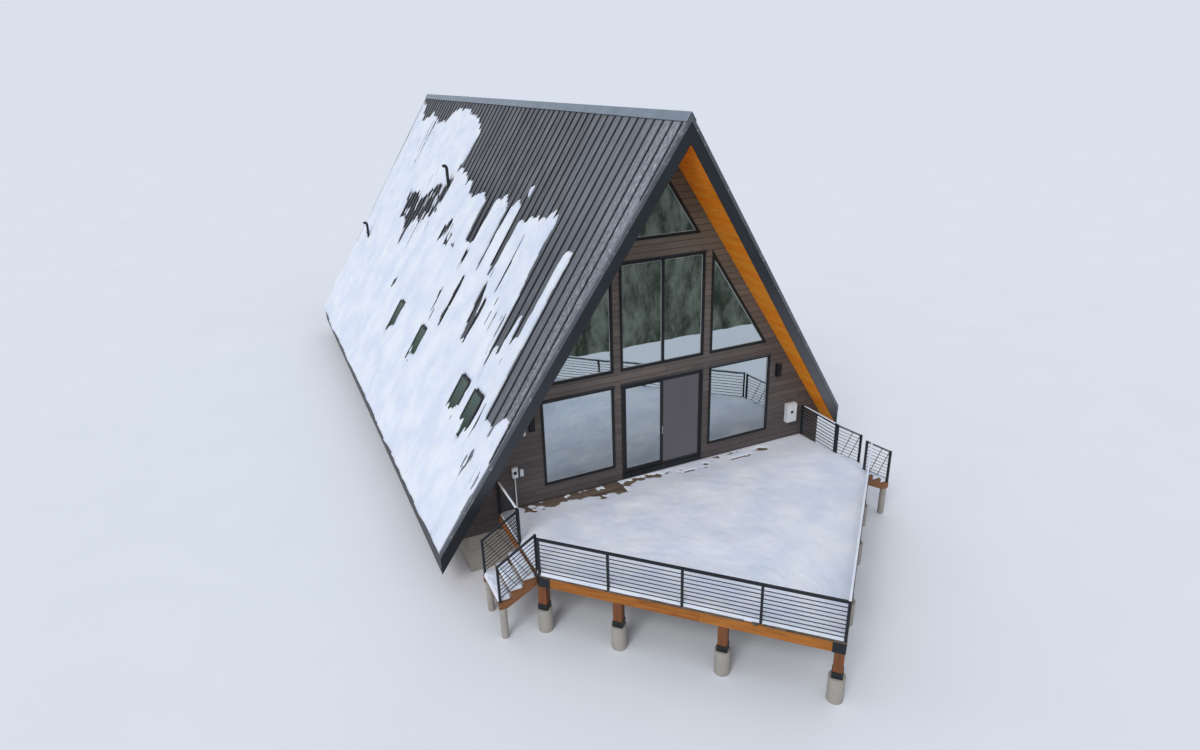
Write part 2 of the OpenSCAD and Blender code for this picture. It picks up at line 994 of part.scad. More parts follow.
foundation();
main_floor();
upper_floors();
knee_wall();
front_wall();
back_wall();
front_siding();
roof_core_left();
roof_core_right();
roof_metal_left();
roof_metal_right();
ridge_cap();
soffits();
rake_fascias();
rake_trims();
eave_fascias();
skylight_frames();
skylight_glass();
front_window_frames();
front_window_glass();
back_window_frames();
back_window_glass();
door_frame();
door_fixed_panel();
door_slider();
door_slider_glass();
door_screen();
deck_boards();
deck_rim();
deck_joists();
deck_posts();
deck_piers();
deck_brackets();
rail_left_edge();
rail_front_left();
rail_front_right();
rail_right_edge();
stair_left();
stair_right();
stair_left_rails();
stair_right_rails();
wall_sconces();
service_boxes();
roof_vents();
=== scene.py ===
"""Looks of the cabin: finishes of the CAD nodes, boards, glazing beads, fittings, snow on roof and deck.

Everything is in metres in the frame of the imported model.
"""
import math

import bpy
import numpy as np
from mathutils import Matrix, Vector


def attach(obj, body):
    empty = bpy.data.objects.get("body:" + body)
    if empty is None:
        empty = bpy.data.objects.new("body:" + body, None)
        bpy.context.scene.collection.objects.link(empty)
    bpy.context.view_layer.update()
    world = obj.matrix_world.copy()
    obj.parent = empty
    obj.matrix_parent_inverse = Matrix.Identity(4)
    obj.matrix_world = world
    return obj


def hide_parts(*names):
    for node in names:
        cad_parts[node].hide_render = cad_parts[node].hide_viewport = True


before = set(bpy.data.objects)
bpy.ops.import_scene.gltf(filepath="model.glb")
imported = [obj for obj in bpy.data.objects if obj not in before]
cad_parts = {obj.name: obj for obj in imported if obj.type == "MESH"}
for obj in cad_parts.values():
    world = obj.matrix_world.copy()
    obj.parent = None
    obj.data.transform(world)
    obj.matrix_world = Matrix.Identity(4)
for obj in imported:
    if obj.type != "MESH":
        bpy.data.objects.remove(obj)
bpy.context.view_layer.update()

# Roof: pitch, height of the soffit apex, depth from the soffits to the top of the sheet, square to the slope
ANGLE = math.radians(56.5)
COS, SIN = math.cos(ANGLE), math.sin(ANGLE)
APEX = 9.776
SHEET = 0.319
RIDGE_Z = APEX + SHEET / COS
# Outer faces of the gable walls; overhang of the rakes at the ridge, and what it loses per metre of width
FRONT, BACK = -0.12, 20.96
OVERHANG, TAPER = 1.19, 0.108
# Distance from seam to seam and the place of the first one; reach of each eave; thickness of the fascias
SEAM, SEAM_FIRST = 0.396, -1.11
EAVE = {-1: 6.109, 1: 5.269}
FASCIA = 0.045
# Places (x, y) of the vent pipes, and their height above the sheet
VENTS = [(3.89, 19.68), (1.9, 12.156)]
VENT_H = 0.62
# Exposed height and length of a siding board, and the underside of the lowest one
BOARD, BOARD_RUN, SIDING_Z = 0.162, 3.6, 1.0
# Outer face of the front glass, middle of the insect mesh, line that the beads at the back are set from
GLASS_Y, MESH_Y, BACK_BEAD_Y = -0.115, -0.134, BACK - 0.029
# Windows of a gable: half width of the door bay, inner side and width of the side windows, sills and heads
BAY, POST_X, SIDE_WIN = 1.17, 1.37, 1.918
SIDE_SILL, DOOR_TOP = 1.867, 4.1
UP_SILL, UP_TOP = 4.462, 7.135
TOP_SILL, TOP_HALF = 7.604, 1.013
# Middles of the wall boxes and of the wall lamps
BOX_X, LAMP_X = 4.05, 3.548
# Deck: height, thickness of its boards, rim beams, half width, outer corners, point, edge at the wall
DECK = 1.45
DECK_T, RIM_H, RIM_T = 0.038, 0.235, 0.085
DECK_X, DECK_Y, POINT = 4.5237, -2.86, (-0.21, -7.31)
DECK_WALL_Y = -0.1443
DECK_LINE = [(-DECK_X, DECK_WALL_Y), (-DECK_X, DECK_Y), POINT, (DECK_X, DECK_Y), (DECK_X, DECK_WALL_Y)]
RAIL_TOP = DECK + 0.91
# Stairs: their two sides, number of treads, height and depth of a step, thickness of the tread boards
STAIR_Y = (-2.72, -1.605)
STEPS, STEP_H, STEP_D, TREAD_T = 3, 0.17, 0.29, 0.022


def rake_front(x):
    """Place along the ridge of the front rake, at x."""
    return FRONT - OVERHANG + TAPER * abs(x)


def rake_back(x):
    """Place along the ridge of the back rake, at x."""
    return BACK + OVERHANG - TAPER * abs(x)


# Materials


def rgb(code, alpha=1.0):
    """Linear colour of an sRGB hex value."""
    parts = [int(code[i:i + 2], 16) / 255 for i in (1, 3, 5)]
    return [p / 12.92 if p <= 0.04045 else ((p + 0.055) / 1.055) ** 2.4 for p in parts] + [alpha]


def size(mm):
    """Texture scale whose features are about this many millimetres apart."""
    return 1000 / mm


def add(tree, kind, inputs=None, out=0, **settings):
    """Adds one shader node; inputs are values or sockets to link. Returns its output out.

    Sockets go by name, or by place where names repeat or are long: 0 to 4 of MapRange are the value,
    from low, from high, to low and to high; 0, 6 and 7 of a colour Mix are its factor and its colours.
    """
    made = tree.nodes.new("ShaderNode" + kind)
    for key, value in settings.items():
        setattr(made, key, value)
    for key, value in (inputs or {}).items():
        if isinstance(value, bpy.types.NodeSocket):
            tree.links.new(value, made.inputs[key])
        else:
            made.inputs[key].default_value = value
    return made.outputs[out] if len(made.outputs) else made


def blank(name):
    """New empty material; returns it with its tree and its object coordinates."""
    made = bpy.data.materials.new(name)
    made.use_nodes = True
    made.node_tree.nodes.clear()
    return made, made.node_tree, add(made.node_tree, "TexCoord", out="Object")


def coated_steel(name, code, light, rough, specks=0.0, pale=0.0):
    """Coil-coated steel sheet: an even matt film with faint chalking.

    Specks adds frost. Pale lightens the lower part with painted light, more towards +x, and darkens the
    lowest end.
    The mottle of the film, under a millimetre in the real one, is drawn 17 mm apart to show.
    """
    made, t, at = blank(name)
    chalk = add(t, "TexNoise", {"Vector": at, "Scale": size(600), "Detail": 4.0})
    fine = add(t, "TexNoise", {"Vector": at, "Scale": size(17), "Detail": 3.0})
    stretched = add(t, "Mapping", {"Vector": at, "Scale": (0.5, 3, 0.5)})
    frost = add(t, "TexNoise", {"Vector": stretched, "Scale": size(110), "Detail": 6.0, "Roughness": 0.75})
    frost = add(t, "MapRange", {0: frost, 1: 0.58, 2: 0.70, 3: 0.0, 4: specks})
    place = add(t, "SeparateXYZ", {0: at}).node
    side = add(t, "MapRange", {0: place.outputs["X"], 1: -1.0, 2: 1.0, 3: 0.3 * pale, 4: pale})
    # Painted light: foot lightens the lower part of the sheet, and side makes it stronger towards +x
    foot = add(t, "MapRange", {0: place.outputs["Z"], 1: 6.5, 2: 2.5, 3: 0.0, 4: side})
    # Darker towards the lowest end of the sheet
    darker_low = add(t, "MapRange", {0: place.outputs["Z"], 1: 2.8, 2: 2.0, 3: 0.0, 4: 1.8 * pale})
    tone = rgb(code)
    for mask, paint in ((chalk, light), (frost, "#cfd6df"), (foot, "#78767c"), (darker_low, "#080c13")):
        tone = add(t, "Mix", {0: mask, 6: tone, 7: rgb(paint)}, 2, data_type="RGBA")
    film = add(t, "MapRange", {0: fine, 1: 0.3, 2: 0.7, 3: rough - 0.06, 4: rough + 0.1})
    relief = add(t, "Bump", {"Height": fine, "Distance": 0.001, "Strength": 0.25})
    shader = add(t, "BsdfPrincipled", {"Base Color": tone, "Roughness": film, "IOR": 1.5, "Normal": relief,
                                       "Specular IOR Level": 0.35})
    add(t, "OutputMaterial", {"Surface": shader})
    return made


def roof_sheet():
    """Standing-seam steel with a charcoal film: seams darkened by dirt and painted shade, fine pencil ribs
    with a painted highlight on each crest and painted shade in each hollow, and frost near the rake.

    Each pan has three ribs and a tone of its own. Dust lies in long runs down the slope, the front is paler,
    and the lower rear is darker. The film's streaks, 1 to 2 mm wide, are drawn 11 mm wide to show.
    """
    made, t, at = blank("roof_sheet")
    ribs = 3
    y = add(t, "SeparateXYZ", {0: at}, "Y")
    z = add(t, "SeparateXYZ", {0: at}, "Z")
    lane = add(t, "MapRange", {0: y, 1: SEAM_FIRST, 2: SEAM_FIRST + SEAM, 3: 0.0, 4: 1.0}, clamp=False)
    seam = add(t, "Math", {0: lane}, operation="FRACT")
    rib = add(t, "Math", {0: seam, 1: 2 * math.pi * ribs}, operation="MULTIPLY")
    rib = add(t, "Math", {0: rib}, operation="SINE")
    edge = add(t, "Math", {0: seam, 1: 0.5}, operation="PINGPONG")
    # Dark lines at the seams: dirt, and painted shade of the standing seams
    seam_dirt_and_shade = add(t, "MapRange", {0: edge, 1: 0.05, 2: 0.09, 3: 0.85, 4: 0.0})
    pan = add(t, "TexWhiteNoise", {"W": add(t, "Math", {0: lane}, operation="FLOOR")}, noise_dimensions="1D")
    pan = add(t, "Math", {0: pan, 1: 0.35}, operation="MULTIPLY")
    broad = add(t, "Mapping", {"Vector": at, "Scale": (1, 2.5, 1)})
    cloud = add(t, "TexNoise", {"Vector": broad, "Scale": size(1100), "Detail": 5.0})
    cloud = add(t, "MapRange", {0: cloud, 1: 0.35, 2: 0.65})
    streaky = add(t, "Mapping", {"Vector": at, "Scale": (0.25, 3, 0.25)})
    fine = add(t, "TexNoise", {"Vector": streaky, "Scale": size(33), "Detail": 4.0, "Roughness": 0.7})
    front = add(t, "MapRange", {0: y, 1: -1.0, 2: 4.0, 3: 0.8, 4: 0.0})
    runs = add(t, "Mapping", {"Vector": at, "Scale": (0.10, 2.2, 0.10)})
    dust = add(t, "TexNoise", {"Vector": runs, "Scale": size(85), "Detail": 3.0, "Roughness": 0.6})
    dust = add(t, "MapRange", {0: dust, 1: 0.50, 2: 0.72, 3: 0.0, 4: 0.6})
    # Painted highlight on the crest of each pencil rib, and painted shade in its hollows
    rib_highlight = add(t, "MapRange", {0: rib, 1: 0.55, 2: 1.0, 3: 0.0, 4: 0.30})
    rib_shade = add(t, "MapRange", {0: rib, 1: -0.6, 2: -1.0, 3: 0.0, 4: 0.30})
    # Darker towards the lower rear of the slope
    darker_low = add(t, "MapRange", {0: z, 1: 8.4, 2: 7.0})
    rear = add(t, "MapRange", {0: y, 1: -0.2, 2: 10.0, 3: 0.3, 4: 0.9})
    darker_low = add(t, "Math", {0: darker_low, 1: rear}, operation="MULTIPLY")
    grains = add(t, "Mapping", {"Vector": at, "Scale": (0.7, 3, 0.7)})
    frost = add(t, "TexNoise", {"Vector": grains, "Scale": size(90), "Detail": 5.0, "Roughness": 0.8})
    frost = add(t, "MapRange", {0: frost, 1: 0.50, 2: 0.62})
    near = add(t, "MapRange", {0: y, 1: -0.75, 2: 0.3, 3: 0.85, 4: 0.05})
    frost = add(t, "Math", {0: frost, 1: near}, operation="MULTIPLY")
    tone = rgb("#35363a")
    for mask, paint in ((cloud, "#4d4f53"), (pan, "#6c6d72"), (front, "#757a84"), (dust, "#9aa1ac"),
                        (rib_highlight, "#9aa0aa"), (rib_shade, "#26262a"), (darker_low, "#1c2027"), (frost, "#c3c9d3"),
                        (seam_dirt_and_shade, "#111216")):
        tone = add(t, "Mix", {0: mask, 6: tone, 7: rgb(paint)}, 2, data_type="RGBA")
    film = add(t, "MapRange", {0: fine, 1: 0.3, 2: 0.7, 3: 0.38, 4: 0.56})
    height = add(t, "Math", {0: rib, 1: fine}, operation="ADD")
    relief = add(t, "Bump", {"Height": height, "Distance": 0.002, "Strength": 0.5})
    shader = add(t, "BsdfPrincipled", {"Base Color": tone, "Roughness": film, "Metallic": 0.0, "IOR": 1.5,
                                       "Specular IOR Level": 0.4, "Normal": relief})
    add(t, "OutputMaterial", {"Surface": shader})
    return made


def board_colours(t, at, dark, light, streak, grooved):
    """Colour and relief of lap boards: each board takes the stain differently, with fine grain along it.

    The foot of the wall is shaded, its top is paler, and a dark line of painted shadow marks each overlap.
    The grain, 2 to 3 mm in the real wood, is drawn 10 mm apart to show.
    """
    # Widths of the butt joints and of the grooves, as shares of a board's length and height
    butt, groove = 0.0016, 0.06
    xyz = add(t, "SeparateXYZ", {0: at}).node
    along = add(t, "Math", {0: xyz.outputs["X"], 1: xyz.outputs["Y"]}, operation="ADD")
    row = add(t, "MapRange", {0: xyz.outputs["Z"], 1: SIDING_Z, 2: SIDING_Z + BOARD}, clamp=False)
    number = add(t, "Math", {0: row}, operation="FLOOR")
    shift = add(t, "TexWhiteNoise", {"W": number}, noise_dimensions="1D")
    shift = add(t, "Math", {0: shift, 1: 7.0}, operation="MULTIPLY")
    run = add(t, "Math", {0: along, 1: 1 / BOARD_RUN, 2: shift}, operation="MULTIPLY_ADD")
    cell = add(t, "CombineXYZ", {0: number, 1: add(t, "Math", {0: run}, operation="FLOOR")})
    tone = add(t, "TexWhiteNoise", {"Vector": cell}, noise_dimensions="2D")
    fibre = add(t, "Mapping", {"Vector": at, "Scale": (0.12, 0.12, 4)})
    grain = add(t, "TexNoise", {"Vector": fibre, "Scale": size(38), "Detail": 5.0, "Roughness": 0.65})
    wide = add(t, "TexNoise", {"Vector": fibre, "Scale": size(200), "Detail": 4.0})
    thin = add(t, "MapRange", {0: grain, 1: 0.35, 2: 0.75, 3: 0.0, 4: 0.55})
    broad = add(t, "MapRange", {0: wide, 1: 0.35, 2: 0.7, 3: 0.0, 4: 0.3})
    high = add(t, "MapRange", {0: xyz.outputs["Z"], 1: 4.5, 2: 9.5, 3: 0.0, 4: 0.4})
    shade = add(t, "MapRange", {0: xyz.outputs["Z"], 1: 4.2, 2: 1.4, 3: 0.0, 4: 0.65})
    step = add(t, "Math", {0: row}, operation="FRACT")
    # Painted shadow: under darkens the top of each board's exposure, beneath the butt of the board above
    under = add(t, "MapRange", {0: step, 1: 0.82, 2: 0.96, 3: 0.0, 4: 0.75})
    line = add(t, "Math", {0: add(t, "Math", {0: run}, operation="FRACT"), 1: butt}, operation="LESS_THAN")
    height = grain
    if grooved:
        cut = add(t, "Math", {0: step, 1: groove}, operation="LESS_THAN")
        line = add(t, "Math", {0: line, 1: cut}, operation="MAXIMUM")
        height = add(t, "Math", {0: step, 1: -3.0, 2: grain}, operation="MULTIPLY_ADD")
    line = add(t, "Math", {0: line, 1: 0.75}, operation="MULTIPLY")
    colour = rgb(dark)
    for mask, paint in ((tone, light), (thin, streak), (broad, dark), (high, "#827b62"), (shade, "#3a3436"),
                        (under, "#1c1715"), (line, "#0d0b0a")):
        colour = add(t, "Mix", {0: mask, 6: colour, 7: rgb(paint)}, 2, data_type="RGBA")
    film = add(t, "MapRange", {0: grain, 1: 0.3, 2: 0.7, 3: 0.5, 4: 0.7})
    return colour, film, add(t, "Bump", {"Height": height, "Distance": 0.003, "Strength": 0.6})


def lap_siding():
    """Factory-stained softwood siding: brown film, slightly satin, with butt joints between the boards."""
    made, t, at = blank("siding_stain")
    colour, film, relief = board_colours(t, at, "#5b5350", "#756b67", "#413a37", False)
    shader = add(t, "BsdfPrincipled", {"Base Color": colour, "Roughness": film, "IOR": 1.48,
                                       "Normal": relief})
    add(t, "OutputMaterial", {"Surface": shader})
    return made


def lined_wall(name, axis, sign):
    """Framed wall: painted plasterboard on the room side and grooved stained boards on the weather side.

    The weather side is the one that faces along axis with the given sign. The plaster's speckle, under a
    millimetre in the real one, is drawn 25 mm apart to show.
    """
    made, t, at = blank(name)
    boards, film, relief = board_colours(t, at, "#5b5350", "#706662", "#413a37", True)
    normal = add(t, "SeparateXYZ", {0: add(t, "NewGeometry", out="Normal")}, axis)
    outer = add(t, "Math", {0: normal, 1: sign}, operation="MULTIPLY")
    outer = add(t, "Math", {0: outer, 1: 0.5}, operation="GREATER_THAN")
    speckle = add(t, "TexNoise", {"Vector": at, "Scale": size(25), "Detail": 3.0})
    plaster = add(t, "Mix", {0: speckle, 6: rgb("#cfcac2"), 7: rgb("#dbd7d0")}, 2, data_type="RGBA")
    colour = add(t, "Mix", {0: outer, 6: plaster, 7: boards}, 2, data_type="RGBA")
    shader = add(t, "BsdfPrincipled", {"Base Color": colour, "Roughness": film, "IOR": 1.48,
                                       "Normal": relief})
    add(t, "OutputMaterial", {"Surface": shader})
    return made


def sawn_timber(name, dark, light, streak, rough=0.6, scale=1.0):
    """Planed softwood under a transparent stain; the grain follows the grain attribute of each piece.

    Each board takes the stain differently and has knots. Its growth rings, 2 to 5 mm in the real wood, are
    drawn 15 to 40 mm apart to show.
    """
    made, t, _ = blank(name)
    at = add(t, "Attribute", attribute_name="grain", out="Vector")
    tone = add(t, "NewGeometry", out="Random Per Island")
    start = add(t, "CombineXYZ", {0: add(t, "Math", {0: tone, 1: 37.0}, operation="MULTIPLY")})
    moved = add(t, "VectorMath", {0: at, 1: start})
    fibre = add(t, "Mapping", {"Vector": moved, "Scale": (0.07, 1, 1)})
    grain = add(t, "TexNoise", {"Vector": fibre, "Scale": size(33 / scale), "Detail": 5.0, "Roughness": 0.65})
    growth = add(t, "TexNoise", {"Vector": fibre, "Scale": size(140 / scale), "Detail": 3.0})
    rings = add(t, "Math", {0: add(t, "Math", {0: growth, 1: 46.0}, operation="MULTIPLY")}, operation="SINE")
    knotty = add(t, "Mapping", {"Vector": moved, "Scale": (0.6, 1.4, 1.4)})
    knot = add(t, "TexNoise", {"Vector": knotty, "Scale": size(450 / scale), "Detail": 2.0})
    thin = add(t, "MapRange", {0: grain, 1: 0.4, 2: 0.72, 3: 0.0, 4: 0.6})
    ring = add(t, "MapRange", {0: rings, 1: 0.3, 2: 1.0, 3: 0.0, 4: 0.26})
    knot = add(t, "MapRange", {0: knot, 1: 0.60, 2: 0.72, 3: 0.0, 4: 0.7})
    colour = rgb(dark)
    for mask, paint in ((tone, light), (thin, streak), (ring, streak), (knot, streak)):
        colour = add(t, "Mix", {0: mask, 6: colour, 7: rgb(paint)}, 2, data_type="RGBA")
    film = add(t, "MapRange", {0: grain, 1: 0.3, 2: 0.7, 3: rough - 0.1, 4: rough + 0.12})
    relief = add(t, "Bump", {"Height": grain, "Distance": 0.002, "Strength": 0.5})
    shader = add(t, "BsdfPrincipled", {"Base Color": colour, "Roughness": film, "IOR": 1.48, "Normal": relief,
                                       "Specular IOR Level": 0.25})
    add(t, "OutputMaterial", {"Surface": shader})
    return made


def plain_timber(name, dark, light, streak, rough=0.6, stretch=(0.1, 0.1, 1.0), planks=0.18):
    """Softwood or oak of a CAD node: grain along the small numbers of stretch, plank joints across x.

    The grain, 2 to 4 mm in the real wood, is drawn 42 mm apart to show.
    """
    made, t, at = blank(name)
    fibre = add(t, "Mapping", {"Vector": at, "Scale": stretch})
    grain = add(t, "TexNoise", {"Vector": fibre, "Scale": size(42), "Detail": 5.0, "Roughness": 0.65})
    wide = add(t, "TexNoise", {"Vector": fibre, "Scale": size(330), "Detail": 3.0})
    thin = add(t, "MapRange", {0: grain, 1: 0.4, 2: 0.72, 3: 0.0, 4: 0.6})
    x = add(t, "Math", {0: add(t, "SeparateXYZ", {0: at}), 1: planks}, operation="DIVIDE")
    tone = add(t, "TexWhiteNoise", {"W": add(t, "Math", {0: x}, operation="FLOOR")}, noise_dimensions="1D")
    tone = add(t, "Math", {0: tone, 1: 0.35}, operation="MULTIPLY")
    colour = rgb(dark)
    for mask, paint in ((wide, light), (thin, streak), (tone, streak)):
        colour = add(t, "Mix", {0: mask, 6: colour, 7: rgb(paint)}, 2, data_type="RGBA")
    relief = add(t, "Bump", {"Height": grain, "Distance": 0.002, "Strength": 0.4})
    shader = add(t, "BsdfPrincipled", {"Base Color": colour, "Roughness": rough, "IOR": 1.48,
                                       "Normal": relief})
    add(t, "OutputMaterial", {"Surface": shader})
    return made


def powder_coat(name, code, light, rough=0.42):
    """Powder-coated steel or aluminium: satin film with a slight orange peel.

    The peel, 1 to 2 mm in the real film, is drawn 4 mm apart to show.
    """
    made, t, at = blank(name)
    peel = add(t, "TexNoise", {"Vector": at, "Scale": size(4)})
    wear = add(t, "TexNoise", {"Vector": at, "Scale": size(250), "Detail": 5.0})
    colour = add(t, "Mix", {0: wear, 6: rgb(code), 7: rgb(light)}, 2, data_type="RGBA")
    film = add(t, "MapRange", {0: wear, 1: 0.3, 2: 0.7, 3: rough - 0.06, 4: rough + 0.12})
    relief = add(t, "Bump", {"Height": peel, "Distance": 0.0006, "Strength": 0.3})
    shader = add(t, "BsdfPrincipled", {"Base Color": colour, "Roughness": film, "IOR": 1.5, "Normal": relief,
                                       "Specular IOR Level": 0.35})
    add(t, "OutputMaterial", {"Surface": shader})
    return made


def coated_glass(name, tint, mirror, share):
    """Float glass units with a metal-oxide coating: mirror what is around and show a dim room behind.

    Share is the part of the light that the coating mirrors; it is less near the floor, in cloudy patches:
    painted shade standing in for the shaded deck in the lower panes' reflection. The panes bow a little, so
    that mirrored edges waver.
    """
    made, t, at = blank(name)
    sag = add(t, "TexNoise", {"Vector": at, "Scale": size(1100)})
    wave = add(t, "Bump", {"Height": sag, "Distance": 0.02, "Strength": 0.10})
    facing = add(t, "Fresnel", {"IOR": 1.52, "Normal": wave})
    bloom = add(t, "TexNoise", {"Vector": at, "Scale": size(1700), "Detail": 3.0})
    film = add(t, "Mix", {0: bloom, 6: rgb(mirror), 7: rgb("#d3dde0")}, 2, data_type="RGBA")
    shine = add(t, "BsdfGlossy", {"Color": film, "Roughness": 0.015, "Normal": wave})
    clear = add(t, "BsdfTransparent", {"Color": rgb(tint)})
    flat = add(t, "Mapping", {"Vector": at, "Scale": (0.5, 0.5, 1.6)})
    cloudy = add(t, "TexNoise", {"Vector": flat, "Scale": size(650)})
    # Painted shade: the lower panes mirror less, in cloudy patches, for the shaded deck they face
    z = add(t, "SeparateXYZ", {0: at}, "Z")
    low = add(t, "MapRange", {0: z, 1: 3.6, 2: 1.8, 3: 0.0, 4: 0.5})
    low = add(t, "Math", {0: low, 1: cloudy}, operation="MULTIPLY")
    share = add(t, "Math", {0: share, 1: low}, operation="SUBTRACT")
    factor = add(t, "Math", {0: facing, 1: 0.9, 2: share}, operation="MULTIPLY_ADD")
    add(t, "OutputMaterial", {"Surface": add(t, "MixShader", {0: factor, 1: clear, 2: shine})})
    return made


def insect_mesh():
    """Woven fibreglass insect mesh in a black metal frame: charcoal, its open squares let some light through.

    The threads are drawn 9 mm apart and 3 mm thick, because the real 1.4 mm can't show in the render.
    """
    made, t, at = blank("insect_mesh")
    pitch, half_thread = 1 / 110, 0.0014
    xyz = add(t, "SeparateXYZ", {0: at}).node
    threads = []
    for axis in ("X", "Z"):
        place = add(t, "Math", {0: xyz.outputs[axis], 1: pitch / 2}, operation="PINGPONG")
        threads.append(add(t, "Math", {0: place, 1: half_thread}, operation="LESS_THAN"))
    thread = add(t, "Math", {0: threads[0], 1: threads[1]}, operation="MAXIMUM")
    woven = add(t, "Math", {0: xyz.outputs["Y"], 1: MESH_Y, 2: 0.003}, operation="COMPARE")
    haze = add(t, "TexNoise", {"Vector": at, "Scale": size(800), "Detail": 4.0})
    colour = add(t, "Mix", {0: haze, 6: rgb("#5a585c"), 7: rgb("#6c696e")}, 2, data_type="RGBA")
    colour = add(t, "Mix", {0: woven, 6: rgb("#14161a"), 7: colour}, 2, data_type="RGBA")
    cover = add(t, "MapRange", {0: thread, 3: 0.74, 4: 0.94})
    cover = add(t, "Mix", {0: woven, 2: 1.0, 3: cover})
    relief = add(t, "Bump", {"Height": thread, "Distance": 0.0005, "Strength": 0.3})
    shader = add(t, "BsdfPrincipled", {"Base Color": colour, "Roughness": 0.7, "IOR": 1.5, "Alpha": cover,
                                       "Normal": relief})
    add(t, "OutputMaterial", {"Surface": shader})
    return made


def fallen_snow():
    """Wind-packed snow: bright, faintly blue in its depth, with small lumps and a grainy crust.

    The grains of the crust, 1 to 2 mm in the real snow, are drawn 8 mm apart to show.
    """
    made, t, at = blank("fallen_snow")
    banks = add(t, "TexNoise", {"Vector": at, "Scale": size(900), "Detail": 4.0})
    banks = add(t, "MapRange", {0: banks, 1: 0.35, 2: 0.65})
    colour = add(t, "Mix", {0: banks, 6: rgb("#d4dcec"), 7: rgb("#e4e9f2")}, 2, data_type="RGBA")
    lumps = add(t, "TexNoise", {"Vector": at, "Scale": size(125), "Detail": 5.0})
    crust = add(t, "TexNoise", {"Vector": at, "Scale": size(8), "Detail": 3.0})
    height = add(t, "Math", {0: crust, 1: 0.12, 2: lumps}, operation="MULTIPLY_ADD")
    relief = add(t, "Bump", {"Height": height, "Distance": 0.02, "Strength": 0.35})
    shader = add(t, "BsdfPrincipled", {"Base Color": colour, "Roughness": 0.62, "IOR": 1.31, "Normal": relief,
                                       "Subsurface Weight": 0.25, "Subsurface Radius": (0.012, 0.018, 0.03),
                                       "Subsurface Scale": 1.0})
    add(t, "OutputMaterial", {"Surface": shader})
    return made


def cast_concrete():
    """Board-formed concrete: pale grey with pores and faint form lines.

    The pores, 2 to 5 mm in the real one, are drawn 11 mm apart to show.
    """
    made, t, at = blank("cast_concrete")
    form_board, half_line = 0.6, 0.004
    cloud = add(t, "TexNoise", {"Vector": at, "Scale": size(500), "Detail": 6.0})
    pores = add(t, "TexNoise", {"Vector": at, "Scale": size(11)})
    pores = add(t, "MapRange", {0: pores, 1: 0.66, 2: 0.74})
    z = add(t, "SeparateXYZ", {0: at}, "Z")
    place = add(t, "Math", {0: z, 1: form_board / 2}, operation="PINGPONG")
    form = add(t, "Math", {0: place, 1: half_line}, operation="LESS_THAN")
    marks = add(t, "Math", {0: pores, 1: form}, operation="MAXIMUM")
    colour = rgb("#8f8b84")
    for mask, paint in ((cloud, "#aca79e"), (marks, "#6b675f")):
        colour = add(t, "Mix", {0: mask, 6: colour, 7: rgb(paint)}, 2, data_type="RGBA")
    height = add(t, "Math", {0: cloud, 1: marks}, operation="SUBTRACT")
    relief = add(t, "Bump", {"Height": height, "Distance": 0.004, "Strength": 0.5})
    shader = add(t, "BsdfPrincipled", {"Base Color": colour, "Roughness": 0.85, "IOR": 1.5, "Normal": relief})
    add(t, "OutputMaterial", {"Surface": shader})
    return made


def moulded_plastic(name, code, light):
    """UV-stable outdoor plastic: even, with a faint moulded texture and grime.

    The texture, 0.5 to 1 mm in the real one, is drawn 3.3 mm apart to show.
    """
    made, t, at = blank(name)
    grime = add(t, "TexNoise", {"Vector": at, "Scale": size(170), "Detail": 4.0})
    colour = add(t, "Mix", {0: grime, 6: rgb(code), 7: rgb(light)}, 2, data_type="RGBA")
    texture = add(t, "TexNoise", {"Vector": at, "Scale": size(3.3)})
    relief = add(t, "Bump", {"Height": texture, "Distance": 0.0005, "Strength": 0.3})
    shader = add(t, "BsdfPrincipled", {"Base Color": colour, "Roughness": 0.5, "IOR": 1.46, "Normal": relief})
    add(t, "OutputMaterial", {"Surface": shader})
    return made


SNOW = fallen_snow()
ROOF = roof_sheet()
CAP = coated_steel("cap_steel", "#65707c", "#83909e", 0.36, 0.3)
EDGE = coated_steel("edge_steel", "#4c525a", "#70767e", 0.36, 0.6)
FASCIA_PAINT = coated_steel("fascia_steel", "#22272c", "#30353c", 0.44, pale=0.5)
VENT = coated_steel("vent_steel", "#1a1e22", "#2a3036", 0.5)
SIDING = lap_siding()
SOFFIT = sawn_timber("soffit_cedar", "#ff9418", "#ffab36", "#e67c16", 0.6)
DECKING = sawn_timber("decking", "#5c5048", "#77695e", "#40362f", 0.75)
TREAD = sawn_timber("tread_stain", "#685042", "#806656", "#4c3a2e", 0.65)
RIM = sawn_timber("rim_stain", "#955722", "#b87530", "#5c3213", 0.55, 0.7)
# The posts' colour is their stain darkened further with painted shade
POST = plain_timber("post_stain_and_shade", "#6f3e1c", "#8b5428", "#4b2811", 0.6, (1, 1, 0.1), 0.4)
JOIST = plain_timber("joist_pine", "#94795a", "#ab8e6c", "#755c41", 0.7, (1, 0.1, 1))
OAK = plain_timber("floor_oak", "#a98157", "#bd9668", "#8a6641", 0.45, (1, 0.08, 1))
LINING = plain_timber("pine_lining", "#b39166", "#c6a579", "#93734b", 0.55, (1, 0.08, 1), 0.12)
FLIGHT = plain_timber("stringer_stain", "#7a4d2c", "#92623a", "#55351c", 0.65, (0.1, 1, 1), 5.0)
BLACK = powder_coat("frame_coat", "#121417", "#1c1f23")
RAIL = powder_coat("rail_coat", "#10151a", "#1a2229", 0.36)
GLASS = coated_glass("window_glass", "#7d8a84", "#e4ecf2", 0.70)
# The skylights' green mirror colour is a painted reflection of trees
SKY_GLASS = coated_glass("skylight_glass", "#2f4a3e", "#6c9a74", 0.28)
MESH = insect_mesh()
CONCRETE = cast_concrete()
BOX = moulded_plastic("box_plastic", "#c4c9cd", "#dfe2e4")

